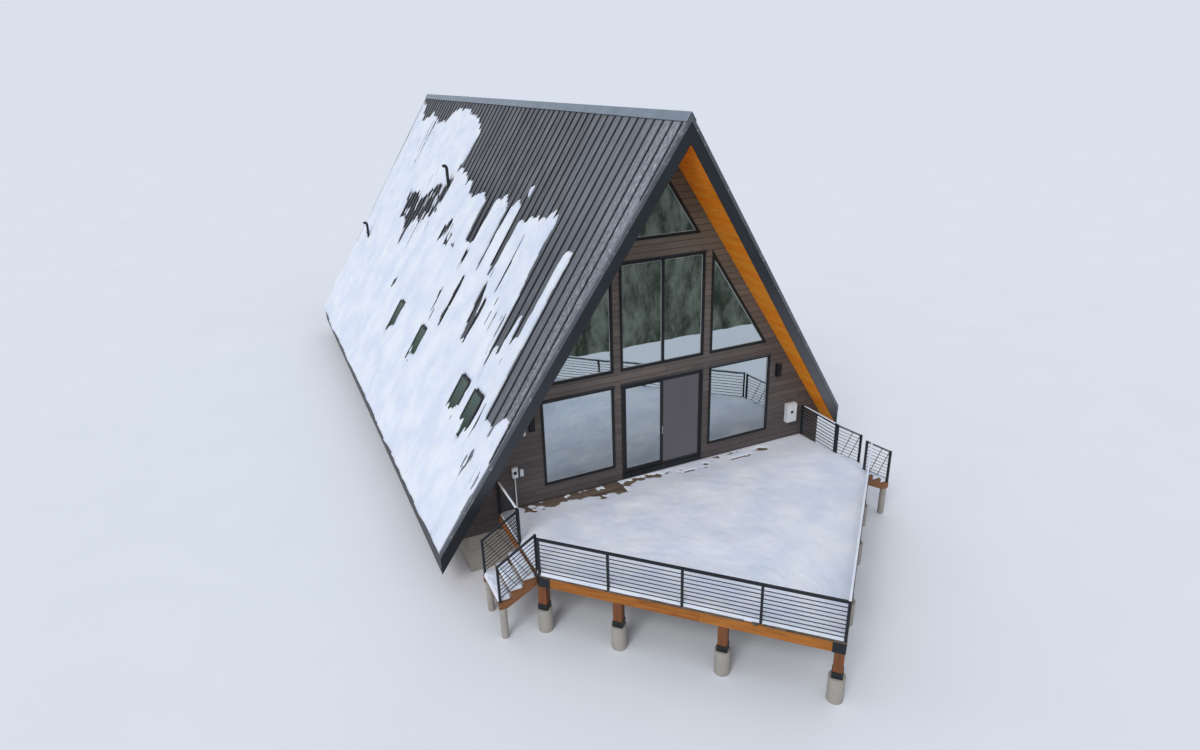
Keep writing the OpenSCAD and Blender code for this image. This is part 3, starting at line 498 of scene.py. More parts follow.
FINISH = {
    "foundation": CONCRETE, "deck_piers": CONCRETE, "main_floor": OAK, "upper_floors": OAK,
    "knee_wall": lined_wall("knee_wall_faces", "X", 1.0),
    "front_wall": lined_wall("front_wall_faces", "Y", -1.0),
    "back_wall": lined_wall("back_wall_faces", "Y", 1.0),
    "front_siding": SIDING, "roof_core_left": LINING, "roof_core_right": LINING,
    "roof_metal_left": ROOF, "roof_metal_right": ROOF, "ridge_cap": CAP, "soffits": SOFFIT,
    "rake_fascias": FASCIA_PAINT, "rake_trims": EDGE, "eave_fascias": FASCIA_PAINT,
    "skylight_frames": BLACK, "skylight_glass": SKY_GLASS,
    "front_window_frames": BLACK, "front_window_glass": GLASS,
    "back_window_frames": BLACK, "back_window_glass": GLASS,
    "door_frame": BLACK, "door_fixed_panel": BLACK, "door_slider": BLACK, "door_slider_glass": GLASS,
    "door_screen": MESH, "deck_boards": DECKING, "deck_rim": RIM, "deck_joists": JOIST,
    "deck_posts": POST, "deck_brackets": RAIL,
    "rail_left_edge": RAIL, "rail_front_left": RAIL, "rail_front_right": RAIL, "rail_right_edge": RAIL,
    "stair_left": FLIGHT, "stair_right": FLIGHT, "stair_left_rails": RAIL, "stair_right_rails": RAIL,
    "wall_sconces": powder_coat("lamp_coat", "#0b0c0e", "#131518", 0.5),
    "service_boxes": BOX, "roof_vents": VENT,
}
for node_name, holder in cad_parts.items():
    holder.data.materials.clear()
    holder.data.materials.append(FINISH[node_name])

# Mesh helpers


def piece(name, points, faces, material, body="cabin", slot=None, grain=None, smooth=False):
    """A mesh object from points and faces that rides on a body."""
    data = bpy.data.meshes.new(name)
    data.from_pydata([tuple(p) for p in points], [], faces)
    data.materials.append(material)
    if grain is not None:
        store = data.attributes.new("grain", "FLOAT_VECTOR", "POINT")
        store.data.foreach_set("vector", np.asarray(grain, np.float32).ravel())
    if smooth:
        data.polygons.foreach_set("use_smooth", [True] * len(data.polygons))
    made = bpy.data.objects.new(name, data)
    bpy.context.scene.collection.objects.link(made)
    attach(made, body)
    return made


class Parts:
    """Collects many small solids into one joined mesh."""

    def __init__(self):
        self.points, self.faces, self.grain = [], [], []

    def prism(self, low, high, along=(1, 0, 0)):
        """A solid between two rings of points that have the same number of corners."""
        first, n = len(self.points), len(low)
        self.points += [Vector(p) for p in low] + [Vector(p) for p in high]
        self.faces.append([first + i for i in range(n)][::-1])
        self.faces.append([first + n + i for i in range(n)])
        for i in range(n):
            j = (i + 1) % n
            self.faces.append([first + i, first + j, first + n + j, first + n + i])
        axis = Vector(along)
        side = axis.cross(Vector((0, 0, 1)))
        side = side.normalized() if side.length > 0.01 else Vector((0, 1, 0))
        up = side.cross(axis)
        for p in self.points[first:]:
            self.grain.append((p.dot(axis), p.dot(side), p.dot(up)))

    def box(self, low, high, along=(1, 0, 0)):
        """A block between its lowest and its highest corner."""
        (x0, y0, z0), (x1, y1, z1) = low, high
        self.prism([(x0, y0, z0), (x1, y0, z0), (x1, y1, z0), (x0, y1, z0)],
                   [(x0, y0, z1), (x1, y0, z1), (x1, y1, z1), (x0, y1, z1)], along)

    def rod(self, foot, axis, radius, length, sides=6):
        """A straight bar of hexagonal section from foot along axis, or with more sides where asked."""
        axis = Vector(axis).normalized()
        a = axis.orthogonal().normalized()
        b = axis.cross(a)
        turns = [2 * math.pi * k / sides for k in range(sides)]
        ring = [Vector(foot) + (a * math.cos(turn) + b * math.sin(turn)) * radius for turn in turns]
        self.prism(ring, [p + axis * length for p in ring], axis)

    def make(self, name, material, **how):
        """The piece, with the grain of each of its points; how goes to piece()."""
        return piece(name, self.points, self.faces, material, grain=self.grain, **how)


def inward(points, distance):
    """Corners of a closed outline moved inward by distance; the outline runs counter-clockwise."""
    moved = []
    for i, corner in enumerate(points):
        corner = Vector(corner)
        before = (corner - Vector(points[i - 1])).normalized()
        after = (Vector(points[(i + 1) % len(points)]) - corner).normalized()
        first, second = Vector((-before.y, before.x)), Vector((-after.y, after.x))
        moved.append(corner + (first + second) * distance / (1 + first.dot(second)))
    return moved


# Boards of the soffit, deck, rim and stairs


def soffit_boards():
    """Tongue-and-groove boards under both rakes, parallel to the ridge, chamfered at each joint."""
    boards = Parts()
    width, gap, chamfer, thick = 0.138, 0.0015, 0.004, 0.018
    start, stub = 0.02, 0.03
    for side in (-1, 1):
        normal = Vector((side * SIN, 0, COS))
        down = Vector((side * COS, 0, -SIN))
        ridge = Vector((0, 0, APEX))
        reach = (EAVE[side] - FASCIA) / COS
        near = start
        while near < reach - stub:
            far = min(near + width, reach)
            ring = [ridge + down * s + normal * h for s, h in (
                (near + gap, thick), (near + gap, chamfer), (near + gap + chamfer, 0),
                (far - gap - chamfer, 0), (far - gap, chamfer), (far - gap, thick))]
            x = ring[2].x
            for y0, y1 in ((rake_front(x) + FASCIA, FRONT), (BACK, rake_back(x) - FASCIA)):
                boards.prism([(p.x, y0, p.z) for p in ring], [(p.x, y1, p.z) for p in ring], (0, 1, 0))
            near = far
    made = boards.make("soffit_boards", SOFFIT, slot="soffit")
    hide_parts("soffits")


def deck_span(y):
    """Leftmost and rightmost x of the deck at y."""
    if y >= DECK_Y:
        return -DECK_X, DECK_X
    t = (y - POINT[1]) / (DECK_Y - POINT[1])
    return POINT[0] + (-DECK_X - POINT[0]) * t, POINT[0] + (DECK_X - POINT[0]) * t


def deck_planks():
    """Deck boards parallel to the wall with 5 mm gaps, split by one breaker board, and their screws.

    The breaker board runs out from the wall and ends short of the point. Only the boards near the wall,
    which show through the snow, have screws.
    """
    boards, screws = Parts(), Parts()
    pitch, gap, top, under = 0.145, 0.005, DECK, DECK - DECK_T
    breaker, breaker_end, sliver = (-1.40, -1.26), -6.15, 0.02
    screwed_to, joist_pitch, screw_radius, screw_height = -1.2, 0.6, 0.005, 0.0008
    y = DECK_WALL_Y
    while y > POINT[1] + 0.03:
        outer_y = max(y - pitch + gap, POINT[1] + 0.01)
        near, far = deck_span(y), deck_span(outer_y)
        for least, most in ((-math.inf, breaker[0] - gap), (breaker[1] + gap, math.inf)):
            ends = [max(near[0], least), min(near[1], most), min(far[1], most), max(far[0], least)]
            if ends[1] - ends[0] < sliver or ends[2] - ends[3] < sliver:
                continue
            flat = [(ends[3], outer_y), (ends[2], outer_y), (ends[1], y), (ends[0], y)]
            boards.prism([(px, py, under) for px, py in flat], [(px, py, top) for px, py in flat], (1, 0, 0))
        if y > screwed_to:
            for joist in range(-7, 8):
                for share in (0.2, 0.8):
                    foot = (joist * joist_pitch, y + (outer_y - y) * share, top)
                    screws.rod(foot, (0, 0, 1), screw_radius, screw_height)
        y -= pitch
    boards.box((breaker[0], breaker_end, under), (breaker[1], DECK_WALL_Y, top), (0, 1, 0))
    made = boards.make("deck_planks", DECKING, slot="deck_wood")
    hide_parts("deck_boards")
    screws.make("deck_screws", VENT)


def rim_beams():
    """Rim beams with the grain along each beam and a butt joint where the photo shows one."""
    beams = Parts()
    inset, half_gap = 0.012, 0.0015
    joints = {1: [0.555], 2: [0.445]}
    outer, inner = inward(DECK_LINE, inset), inward(DECK_LINE, inset + RIM_T)
    top, low = DECK - DECK_T, DECK - DECK_T - RIM_H
    for i in range(5):
        j = (i + 1) % 5
        cuts = [0.0] + joints.get(i, []) + [1.0]
        length = (outer[j] - outer[i]).length
        for start, end in zip(cuts, cuts[1:]):
            gap = half_gap / length
            near, far = (start + gap if start else 0.0), (end - gap if end < 1 else 1.0)
            flat = [outer[i].lerp(outer[j], near), outer[i].lerp(outer[j], far),
                    inner[i].lerp(inner[j], far), inner[i].lerp(inner[j], near)]
            along = (outer[j] - outer[i]).normalized()
            foot, head = [(p.x, p.y, low) for p in flat], [(p.x, p.y, top) for p in flat]
            beams.prism(foot, head, (along.x, along.y, 0))
    made = beams.make("rim_beams", RIM, slot="rim_wood")
    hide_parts("deck_rim")


def corner_bolts():
    """Hexagon bolts in the steel plates around the free corners of the rim."""
    bolts = Parts()
    low, middle = DECK - DECK_T - RIM_H, Vector((0, -2))
    radius, head = 0.011, 0.007
    for i in (1, 2, 3):
        corner = Vector(DECK_LINE[i])
        for other in (DECK_LINE[i - 1], DECK_LINE[i + 1]):
            along = (Vector(other) - corner).normalized()
            out = Vector((along.y, -along.x))
            if out.dot(corner - middle) < 0:
                out = -out
            for run in (0.07, 0.17):
                for up in (0.06, 0.175):
                    foot = corner + along * run
                    bolts.rod((foot.x, foot.y, low + up), (out.x, out.y, 0), radius, head)
    bolts.make("corner_bolts", VENT)


def tread_boards():
    """Two boards on every tread of both stairs, with a gap between them and chamfered upper edges."""
    boards = Parts()
    setback, edge, margin = 0.004, 0.004, 0.052
    both = ((0.0, 0.138), (0.146, 0.282))
    for side in (-1, 1):
        for i in range(STEPS):
            x0 = DECK_X + i * STEP_D + setback
            top = DECK - (i + 1) * STEP_H
            for a, b in [(x0 + near, x0 + far) for near, far in both]:
                ring = [(a, top), (b, top), (b, top + TREAD_T - edge), (b - edge, top + TREAD_T),
                        (a + edge, top + TREAD_T), (a, top + TREAD_T - edge)]
                ends = [[(side * px, y, pz) for px, pz in ring]
                        for y in (STAIR_Y[0] + margin, STAIR_Y[1] - margin)]
                boards.prism(ends[side < 0], ends[side > 0], (0, 1, 0))
    boards.make("tread_boards", TREAD, slot="deck_wood")


# Glazing and fittings


def window_outlines():
    """Openings of one gable in the XZ plane, counter-clockwise."""
    slope, half_post, frame_face = SIN / COS, 0.029, 0.058
    inner, outer = half_post - frame_face, POST_X + SIDE_WIN
    low = [(POST_X, SIDE_SILL), (outer, SIDE_SILL), (outer, DOOR_TOP), (POST_X, DOOR_TOP)]
    up = [(POST_X, UP_SILL), (POST_X + (UP_TOP - UP_SILL) / slope, UP_SILL), (POST_X, UP_TOP)]
    top = [(-TOP_HALF, TOP_SILL), (TOP_HALF, TOP_SILL), (0, TOP_SILL + TOP_HALF * slope)]
    half = [(inner, UP_SILL), (BAY, UP_SILL), (BAY, UP_TOP), (inner, UP_TOP)]
    flipped = [[(-x, z) for x, z in reversed(outline)] for outline in (low, up, half)]
    return [low, up, top, half] + flipped


def glazing_beads():
    """Slim dark beads that hold the glass of both gables outside, and the pale spacer bars of the panes."""
    beads, spacers = Parts(), Parts()
    # Each kind of bar: distances of its two sides from the edge of the opening, and of its two faces from y
    kinds = ((beads, 0.056, 0.063, 0.001, 0.014), (spacers, 0.064, 0.080, 0.0005, 0.0025))
    for y in (GLASS_Y, BACK_BEAD_Y):
        for outline in window_outlines():
            for bars, near, far, back, front in kinds:
                rings = [inward(outline, near), inward(outline, far)]
                for i in range(len(outline)):
                    j = (i + 1) % len(outline)
                    flat = [rings[0][i], rings[0][j], rings[1][j], rings[1][i]]
                    bars.prism([(p.x, y - back, p.y) for p in flat], [(p.x, y - front, p.y) for p in flat])
    beads.make("glazing_beads", BLACK, slot="frame_black")
    spacers.make("glass_spacers", powder_coat("spacer_metal", "#a9b0b4", "#c3c9cc", 0.4))


def drip_caps():
    """Folded metal caps over the windows, the door and the bands between the window rows."""
    caps = Parts()
    back, front, sheet, end = FRONT - 0.0245, FRONT - 0.062, 0.002, 0.02
    far = POST_X + SIDE_WIN + end
    # Each section goes up the wall, slopes out over the frame and turns down in a drip edge
    for x0, x1, z in ((-BAY - end, BAY + end, DOOR_TOP), (POST_X - end, far, DOOR_TOP),
                      (-far, -POST_X + end, DOOR_TOP), (-BAY - end, BAY + end, UP_TOP)):
        profile = [(back, z + 0.026), (back, z + 0.012), (front, z + 0.006), (front, z - 0.006),
                   (front - sheet, z - 0.006), (front - sheet, z + 0.010)]
        caps.prism([(x0, y, h) for y, h in profile], [(x1, y, h) for y, h in profile])
    caps.make("drip_caps", FASCIA_PAINT, slot="frame_black")


def door_handles():
    """Pull on the insect screen and a lever plate on the room side of the slider."""
    pull = Parts()
    low, high, foot = 2.52, 2.72, 0.03
    for z in (low, high - foot):
        pull.box((-0.026, -0.158, z), (-0.006, -0.144, z + foot))
    pull.box((-0.024, -0.168, low), (-0.008, -0.158, high))
    pull.make("screen_pull", powder_coat("pull_coat", "#8f959a", "#aab0b5", 0.35), body="insect_screen")
    lever = Parts()
    low, high, arm, plate = 2.50, 2.66, 0.02, 0.05
    lever.box((-0.018, -0.018, low - plate), (0.022, -0.010, high + plate))
    for z in (low, high - arm):
        lever.box((-0.008, -0.010, z), (0.012, 0.030, z + arm))
    lever.box((-0.008, 0.020, low), (0.012, 0.032, high))
    lever.make("slider_lever", BLACK, body="door_panel", slot="frame_black")


def fitting_details():
    """Displays of the wall boxes, and a lens at the foot and the head of each lamp."""
    dark = Parts()
    dark.box((BOX_X - 0.045, -0.2835, 2.24), (BOX_X + 0.045, -0.2795, 2.31))
    dark.box((-BOX_X - 0.04, -0.2335, 2.42), (-BOX_X + 0.04, -0.2295, 2.50))
    dark.make("box_displays", BLACK, slot="frame_black")
    lens = Parts()
    half_width, back, front, thick = 0.045, -0.155, -0.225, 0.006
    for x in (-LAMP_X, LAMP_X):
        for z in (3.431, 3.793):
            lens.box((x - half_width, front, z), (x + half_width, back, z + thick))
    lens.make("lamp_lenses", moulded_plastic("lens_plastic", "#4c4a46", "#5c5954"))


def vent_elbows():
    """Bent ends of the two pipes: each turns away from the ridge and a little towards the front."""
    points, faces = [], []
    sides, turns, radius, bend, whole = 20, 9, 0.055, 0.13, math.radians(115)
    out, across = Vector((-0.8, -0.6, 0)), Vector((0.6, -0.8, 0))
    for x, y in VENTS:
        foot = Vector((-x, y, RIDGE_Z - x * SIN / COS + VENT_H))
        first = len(points)
        for i in range(turns):
            turn = whole * i / (turns - 1)
            centre = foot + out * bend * (1 - math.cos(turn)) + Vector((0, 0, bend * math.sin(turn)))
            other = out * math.cos(turn) - Vector((0, 0, math.sin(turn)))
            for k in range(sides):
                angle = 2 * math.pi * k / sides
                points.append(centre + across * radius * math.cos(angle) + other * radius * math.sin(angle))
        for i in range(turns - 1):
            for k in range(sides):
                n = (k + 1) % sides
                a = first + i * sides
                faces.append((a + k, a + n, a + sides + n, a + sides + k))
        faces.append([first + k for k in range(sides)][::-1])
        faces.append([first + (turns - 1) * sides + k for k in range(sides)])
    piece("vent_elbows", points, faces, VENT, slot="edge_metal", smooth=True)


# Snow on the roof, the deck, the treads and the top rails


def noise_map(shape, cells, seed):
    """Smooth noise from -1 to 1 on a grid, with the given numbers of cells down and across."""
    rng = np.random.default_rng(seed)
    rows, cols = cells
    coarse = rng.uniform(-1, 1, (rows + 1, cols + 1))
    down = np.linspace(0, rows - 1e-6, shape[0])
    across = np.linspace(0, cols - 1e-6, shape[1])
    i, j = down.astype(int), across.astype(int)
    a, b = down - i, across - j
    a, b = (a * a * (3 - 2 * a))[:, None], (b * b * (3 - 2 * b))[None, :]
    top = coarse[i][:, j] * (1 - b) + coarse[i][:, j + 1] * b
    bottom = coarse[i + 1][:, j] * (1 - b) + coarse[i + 1][:, j + 1] * b
    return top * (1 - a) + bottom * a


def inside(px, py, outline):
    """Which grid points lie inside a closed outline."""
    result = np.zeros(px.shape, bool)
    for (x0, y0), (x1, y1) in zip(outline, outline[1:] + outline[:1]):
        crosses = (y0 > py) != (y1 > py)
        with np.errstate(divide="ignore", invalid="ignore"):
            at = (x1 - x0) * (py - y0) / (y1 - y0) + x0
        result ^= crosses & (px < at)
    return result


def soften(field):
    """Blur over one cell to each side, down the grid and across it."""
    for axis in (0, 1):
        padded = np.pad(field, [(1, 1) if k == axis else (0, 0) for k in (0, 1)], mode="edge")
        n = field.shape[axis]
        low, high = padded.take(range(n), axis), padded.take(range(2, n + 2), axis)
        field = (low + high + 2 * field) / 4
    return field


UP = np.array([0.0, 0.0, 1.0])


def drift(name, places, up, field, thick, sink):
    """A closed body of snow on a grid of places; where field is under a half, it dips into its support.

    The snow rises roundly from its edge to its thickness, and cells far outside its edge are left out.
    """
    skirt = 0.003
    edge = np.clip((field - 0.5) * 2, -1, 1)
    rise = np.sqrt(np.clip(1 - (1 - np.clip(edge * 1.5, 0, 1)) ** 2, 0, 1)) * thick
    height = np.where(edge > 0, rise, edge * 6 * sink).clip(-sink, None)
    solid = height > -sink * 0.98
    keep = solid[:-1, :-1] | solid[1:, :-1] | solid[:-1, 1:] | solid[1:, 1:]
    rows, cols = height.shape
    index = np.arange(rows * cols).reshape(rows, cols)
    quads = np.stack([index[:-1, :-1], index[1:, :-1], index[1:, 1:], index[:-1, 1:]], -1)[keep]
    used, packed = np.unique(quads, return_inverse=True)
    quads = packed.reshape(-1, 4)
    top = (places + up * height[:, :, None]).reshape(-1, 3)[used]
    low = (places - up * (sink + skirt)).reshape(-1, 3)[used]
    a, b, c = top[quads[0][0]], top[quads[0][1]], top[quads[0][2]]
    if np.dot(np.cross(b - a, c - a), up) < 0:
        quads = quads[:, ::-1]
    # Sides of cells that belong to one cell only are the rim, where walls join the top to the underside
    count = len(used)
    sides = np.concatenate([np.stack([quads[:, k], quads[:, (k + 1) % 4]], -1) for k in range(4)])
    code = sides.min(1) * count + sides.max(1)
    _, first, times = np.unique(code, return_index=True, return_counts=True)
    rim = sides[first[times == 1]]
    walls = np.stack([rim[:, 1], rim[:, 0], rim[:, 0] + count, rim[:, 1] + count], -1)
    faces = np.concatenate([quads, quads[:, ::-1] + count, walls])
    return piece(name, np.concatenate([top, low]).tolist(), faces.tolist(), SNOW, smooth=True)


# Edge of the snow on the slope as (y, s), s being metres down from the ridge line of the sheet
SNOW_EDGE = [
    (-0.6, 7.65), (-0.2, 7.75), (-0.2, 8.35), (0.05, 8.4), (0.05, 8.1), (0.6, 8.1), (0.6, 3.65),
    (0.65, 3.6), (0.9, 3.65), (1, 6.1), (1.4, 6.15), (1.4, 5.55), (1.5, 5.6), (1.6, 6.65), (1.75, 6.85),
    (1.8, 6.35), (1.9, 6.5), (2, 6.9), (2.15, 6.8), (2.15, 5.3), (2.3, 4.45), (2.25, 3.05), (2.5, 3),
    (2.75, 3.05), (3.45, 3.25), (4.4, 3.55), (4.55, 5.05), (4.85, 5.15), (4.85, 3.15), (5.15, 3.05),
    (5.45, 3.15), (5.55, 5.2), (5.8, 5.25), (5.8, 3.2), (6.25, 3.05), (6.85, 3.2), (7, 4.65),
    (7.3, 4.8), (7.85, 4.65), (7.85, 3.3), (8.45, 3.25), (9.05, 3.45), (9.7, 3.4), (9.8, 3.05),
    (10.55, 3), (11.15, 2.75), (11.75, 2.65), (12.1, 2.9), (12.25, 3.1), (11.85, 2.3), (11.7, 1.15),
    (12.25, 0.95), (12.6, 0.7), (13.55, 0.6), (14.85, 0.45), (15.7, 0.5), (16.3, 0.75), (16.65, 1.05),
    (18.05, 1.15), (18.6, 0.95), (19.35, 0.85), (20, 1.15), (20.6, 1.2), (21.05, 0.95), (21.45, 0.55),
    (21.9, 0.35), (23.3, 0.2), (23.3, 12.5), (-0.6, 12.5), (-0.6, 9.6), (-0.85, 9.2), (-0.7, 8.65),
]
# Places inside the snow where the sheet shows
BARE = [
    [(11.9, 3.1), (12.75, 3.3), (13.6, 3.5), (14.3, 4.05), (14.8, 4.35), (15.7, 4.15), (17.05, 4.15),
     (16.6, 4.75), (16.55, 5.45), (15.6, 5.35), (15.15, 5.8), (14.9, 6.25), (14.65, 6.2),
     (14.55, 5.3), (13.45, 5.1), (12.9, 4.6), (12.55, 4.75), (12, 3.9)],
    [(9.8, 4.25), (10.05, 4.4), (10.5, 4.7), (10.45, 5.25), (10.2, 5.05), (9.9, 4.7)],
    [(8.25, 4.9), (8.65, 4.95), (9, 5.15), (8.65, 5.15)],
    [(9.4, 5.1), (9.55, 4.8), (9.65, 5.15), (9.45, 5.25)],
    [(6.95, 4.95), (7.3, 4.9), (7.35, 5.45), (7.05, 5.5)],
    [(6.15, 6.3), (6.25, 5.55), (6.4, 5.6), (6.55, 6.2), (6.55, 7.3), (6.25, 7.3)],
    [(4, 6.4), (4.4, 5.35), (4.6, 5.4), (4.65, 6), (4.3, 7.1), (3.95, 7.1)],
    [(2.25, 5.6), (2.4, 5.6), (2.35, 6.95), (2.2, 6.95)],
    [(2, 6.1), (2.1, 6.1), (2.1, 7.05), (1.95, 7.05)],
    [(7.55, 6.5), (7.8, 6.5), (7.8, 6.85), (7.55, 6.85)],
    [(7.35, 6.95), (7.5, 6.9), (7.5, 7.5), (7.3, 7.5)],
    [(12.6, 7.35), (13.1, 7.45), (13, 7.65), (13.15, 7.95), (12.8, 7.75)],
    [(19.7, 7), (20.35, 6.7), (21.3, 6.65), (20.85, 6.8), (20.1, 7)],
    [(0.2, 8.8), (0.35, 8.75), (0.4, 9.3), (0.25, 9.35)],
    [(1.05, 7.65), (1.8, 7.75), (1.8, 8.55), (1.6, 8.3), (1.5, 8.4), (1.4, 9.1), (1.3, 9.1),
     (1.2, 8.3)],
    [(2.2, 7.7), (2.9, 7.75), (2.9, 8.55), (2.6, 8.65), (2.45, 8.5)],
    [(7, 7.65), (7.6, 7.7), (7.5, 8.3), (7.1, 8.2)],
    [(10.15, 7.9), (10.9, 7.9), (11, 9.3), (10.9, 9.3), (10.6, 8.7), (10.3, 8.5)],
    [(18.2, 1.15), (18.35, 1.15), (18.55, 3.3), (18.4, 3.3)],
]
# Middles (y) of the skylights, which stay free of snow but for their lower end
SKYLIGHTS = (1.42, 2.55, 7.3, 10.55)
# Middles (y, s) and half sizes of the places where fine streaks of sheet show through the snow
STREAKED = [
    (14.0, 4.6, 2.6, 1.3), (4.0, 6.3, 0.45, 1.3), (6.4, 6.6, 0.35, 1.1), (2.0, 5.6, 0.5, 1.7),
    (1.5, 7.0, 0.5, 0.9), (7.2, 5.4, 0.5, 0.8), (7.5, 7.0, 0.4, 0.6), (9.6, 4.9, 0.9, 0.6),
    (3.6, 4.4, 0.6, 1.2), (0.3, 9.0, 0.4, 1.0), (-0.6, 9.0, 0.25, 1.4), (12.9, 7.5, 0.5, 0.7),
    (18.4, 2.2, 0.4, 1.5), (3.1, 5.9, 0.5, 1.2), (0.9, 8.2, 0.4, 0.8), (-0.3, 9.9, 0.35, 1.2),
    (0.1, 10.4, 0.5, 0.9),
]


def roof_snow(side):
    """Snow on one slope: its outline follows the photo, and the other slope repeats it."""
    # Grid on the slope, finer in the front part
    lowest = EAVE[side] / COS + 0.02
    front, change, back = -1.3, 8.0, 22.2
    rows = np.concatenate([np.arange(front, change, 0.036), np.arange(change, back, 0.055)])
    y, s = np.meshgrid(rows, np.arange(0.1, lowest + 0.05, 0.1), indexing="ij")
    shape = y.shape
    seed = 11 if side < 0 else 47
    # Ragged outline
    ragged_y = y + 0.035 * noise_map(shape, (60, 12), seed) + 0.02 * noise_map(shape, (260, 40), seed + 1)
    ragged_s = s + 0.10 * noise_map(shape, (110, 20), seed + 2) + 0.11 * noise_map(shape, (260, 30), seed + 3)
    mask = inside(ragged_y, ragged_s, SNOW_EDGE)
    # Bare places with some snow left in streaks down the slope, more of it in the first and largest
    streak = noise_map(shape, (250, 11), seed + 4) + 0.45 * noise_map(shape, (500, 40), seed + 5)
    cover = np.ones(shape)
    for number, hole in enumerate(BARE):
        left = np.clip(0.5 + 2.0 * (streak - (0.75 if number == 0 else 1.3)), 0, 1)
        bare = soften(inside(ragged_y, ragged_s, hole).astype(float))
        cover = np.minimum(cover, 1 - bare * (1 - left))
    half_width, upper_end, lower_end = 0.36, 7.68, 8.5
    for middle in SKYLIGHTS:
        mask &= (np.abs(y - middle) > half_width) | (s < upper_end) | (s > lower_end + 0.25 * streak)
    weight = np.zeros(shape)
    for mid_y, mid_s, half_y, half_s in STREAKED:
        weight = np.maximum(weight, np.exp(-((y - mid_y) / half_y) ** 2 - ((s - mid_s) / half_s) ** 2))
    cover = np.minimum(cover, np.clip(0.5 + 1.2 * (1.25 - 0.85 * weight + streak), 0, 1))
    # A small patch on the bare sheet, and an edge that stays off the rakes and the eave
    mask |= np.hypot((y - 4.72) / 0.06, (s - 2.6) / 0.17) < 1
    x = s * COS
    rake = np.minimum(y - (rake_front(0) + TAPER * x), (rake_back(0) - TAPER * x) - y)
    field = np.minimum(soften(mask.astype(float)), cover)
    field = np.minimum(field, np.clip(0.5 + np.minimum(rake - 0.06, lowest - 0.02 - s) / 0.12, 0, 1))
    # Thicker down the slope and in lumps, thinner at the rakes and where it is streaked
    thick = 0.028 + 0.005 * s + 0.06 * np.clip((s - 7.5) / 3.5, 0, 1)
    thick *= 1 + 0.34 * noise_map(shape, (30, 14), seed + 6) + 0.18 * noise_map(shape, (130, 50), seed + 7)
    thick += 0.05 * noise_map(shape, (16, 7), seed + 9).clip(0, 1) * np.clip((s - 5.5) / 3, 0, 1)
    thick += 0.012 * np.clip(noise_map(shape, (300, 16), seed + 8), 0, 1)
    thick *= np.clip(rake / 0.4, 0.4, 1) * (1 - 0.65 * weight)
    places = np.stack([side * s * COS, y, RIDGE_Z - s * SIN], -1)
    name = "snow_on_roof_left" if side < 0 else "snow_on_roof_right"
    drift(name, places, np.array([side * SIN, 0, COS]), field, thick, 0.008)


# Places along the wall where the deck boards show, as (x, y)
DECK_BARE = [
    [(-3.96, -0.08), (-3.93, -0.44), (-3.68, -0.54), (-3.55, -0.35), (-3.2, -0.55), (-2.83, -0.42),
     (-2.54, -0.49), (-2.21, -0.45), (-2.12, -0.8), (-1.93, -0.85), (-1.85, -0.63), (-1.67, -0.59),
     (-1.6, -0.79), (-1.36, -0.81), (-1.36, -0.09)],
    [(-1.43, -0.09), (-1.3, -0.09), (-1.24, -0.81), (-1.38, -0.83)],
    [(-1.2, -0.2), (-0.4, -0.2), (0.1, -0.28), (0.15, -0.4), (-0.35, -0.46), (-0.75, -0.36),
     (-1.2, -0.42)],
    [(0.08, -0.46), (0.51, -0.48), (0.99, -0.54), (1.38, -0.57), (1.36, -0.63), (0.71, -0.59),
     (0.13, -0.53)],
    [(1.56, -0.54), (2.13, -0.49), (2.66, -0.55), (2.52, -0.62), (1.95, -0.56)],
    [(2.69, -0.33), (3.07, -0.31), (3.18, -0.52), (2.79, -0.5)],
    [(1.3, -0.2), (2.3, -0.2), (2.5, -0.26), (1.3, -0.27)],
]


def deck_snow():
    """Snow on the deck: deep in the middle, thin at the wall, where strips of boards are blown free."""
    inset = 0.014
    rows, shares = np.linspace(POINT[1] + 0.03, -0.15, 160), np.linspace(0.0, 1.0, 190)
    y, share = np.meshgrid(rows, shares, indexing="ij")
    shape = y.shape
    span = np.array([deck_span(v) for v in y[:, 0]])
    left, right = span[:, :1] + inset, span[:, 1:] - inset
    x = left + (right - left) * share
    # Bare strips with ragged outlines, and speckles of board in front of the wall
    ragged_x = x + 0.07 * noise_map(shape, (50, 60), 3) + 0.04 * noise_map(shape, (150, 160), 4)
    ragged_y = y + 0.03 * noise_map(shape, (50, 50), 5) + 0.03 * noise_map(shape, (150, 140), 6)
    mask = np.ones(shape, bool)
    speckle = noise_map(shape, (150, 90), 9) + 0.5 * noise_map(shape, (150, 180), 10)
    for hole in DECK_BARE:
        mask &= ~(inside(ragged_x, ragged_y, hole) & (speckle < 0.3))
    near = np.exp(-((y + 0.45) / 0.22) ** 2) * (x < 3.3)
    mask &= speckle * near < 0.48
    # Distance from the free edges of the deck, where the snow rounds off
    distance = np.full(shape, 9.0)
    for (x0, y0), (x1, y1) in zip(DECK_LINE[:4], DECK_LINE[1:]):
        run = math.hypot(x1 - x0, y1 - y0)
        distance = np.minimum(distance, np.abs((x1 - x0) * (y - y0) - (y1 - y0) * (x - x0)) / run)
    field = soften(mask.astype(float))
    field = np.minimum(field, np.clip(0.3 + (distance - inset) / 0.09, 0, 1))
    wall = np.clip((-0.35 - y) / 1.1, 0, 1)
    thick = (0.095 + 0.035 * np.clip(distance / 0.8, 0, 1)) * (0.16 + 0.84 * wall * wall * (3 - 2 * wall))
    thick *= (1 + 0.16 * noise_map(shape, (11, 14), 21) + 0.08 * noise_map(shape, (34, 40), 22)
              + 0.03 * noise_map(shape, (90, 110), 23))
    drift("snow_on_deck", np.stack([x, y, np.full(shape, DECK)], -1), UP, field, thick, 0.006)


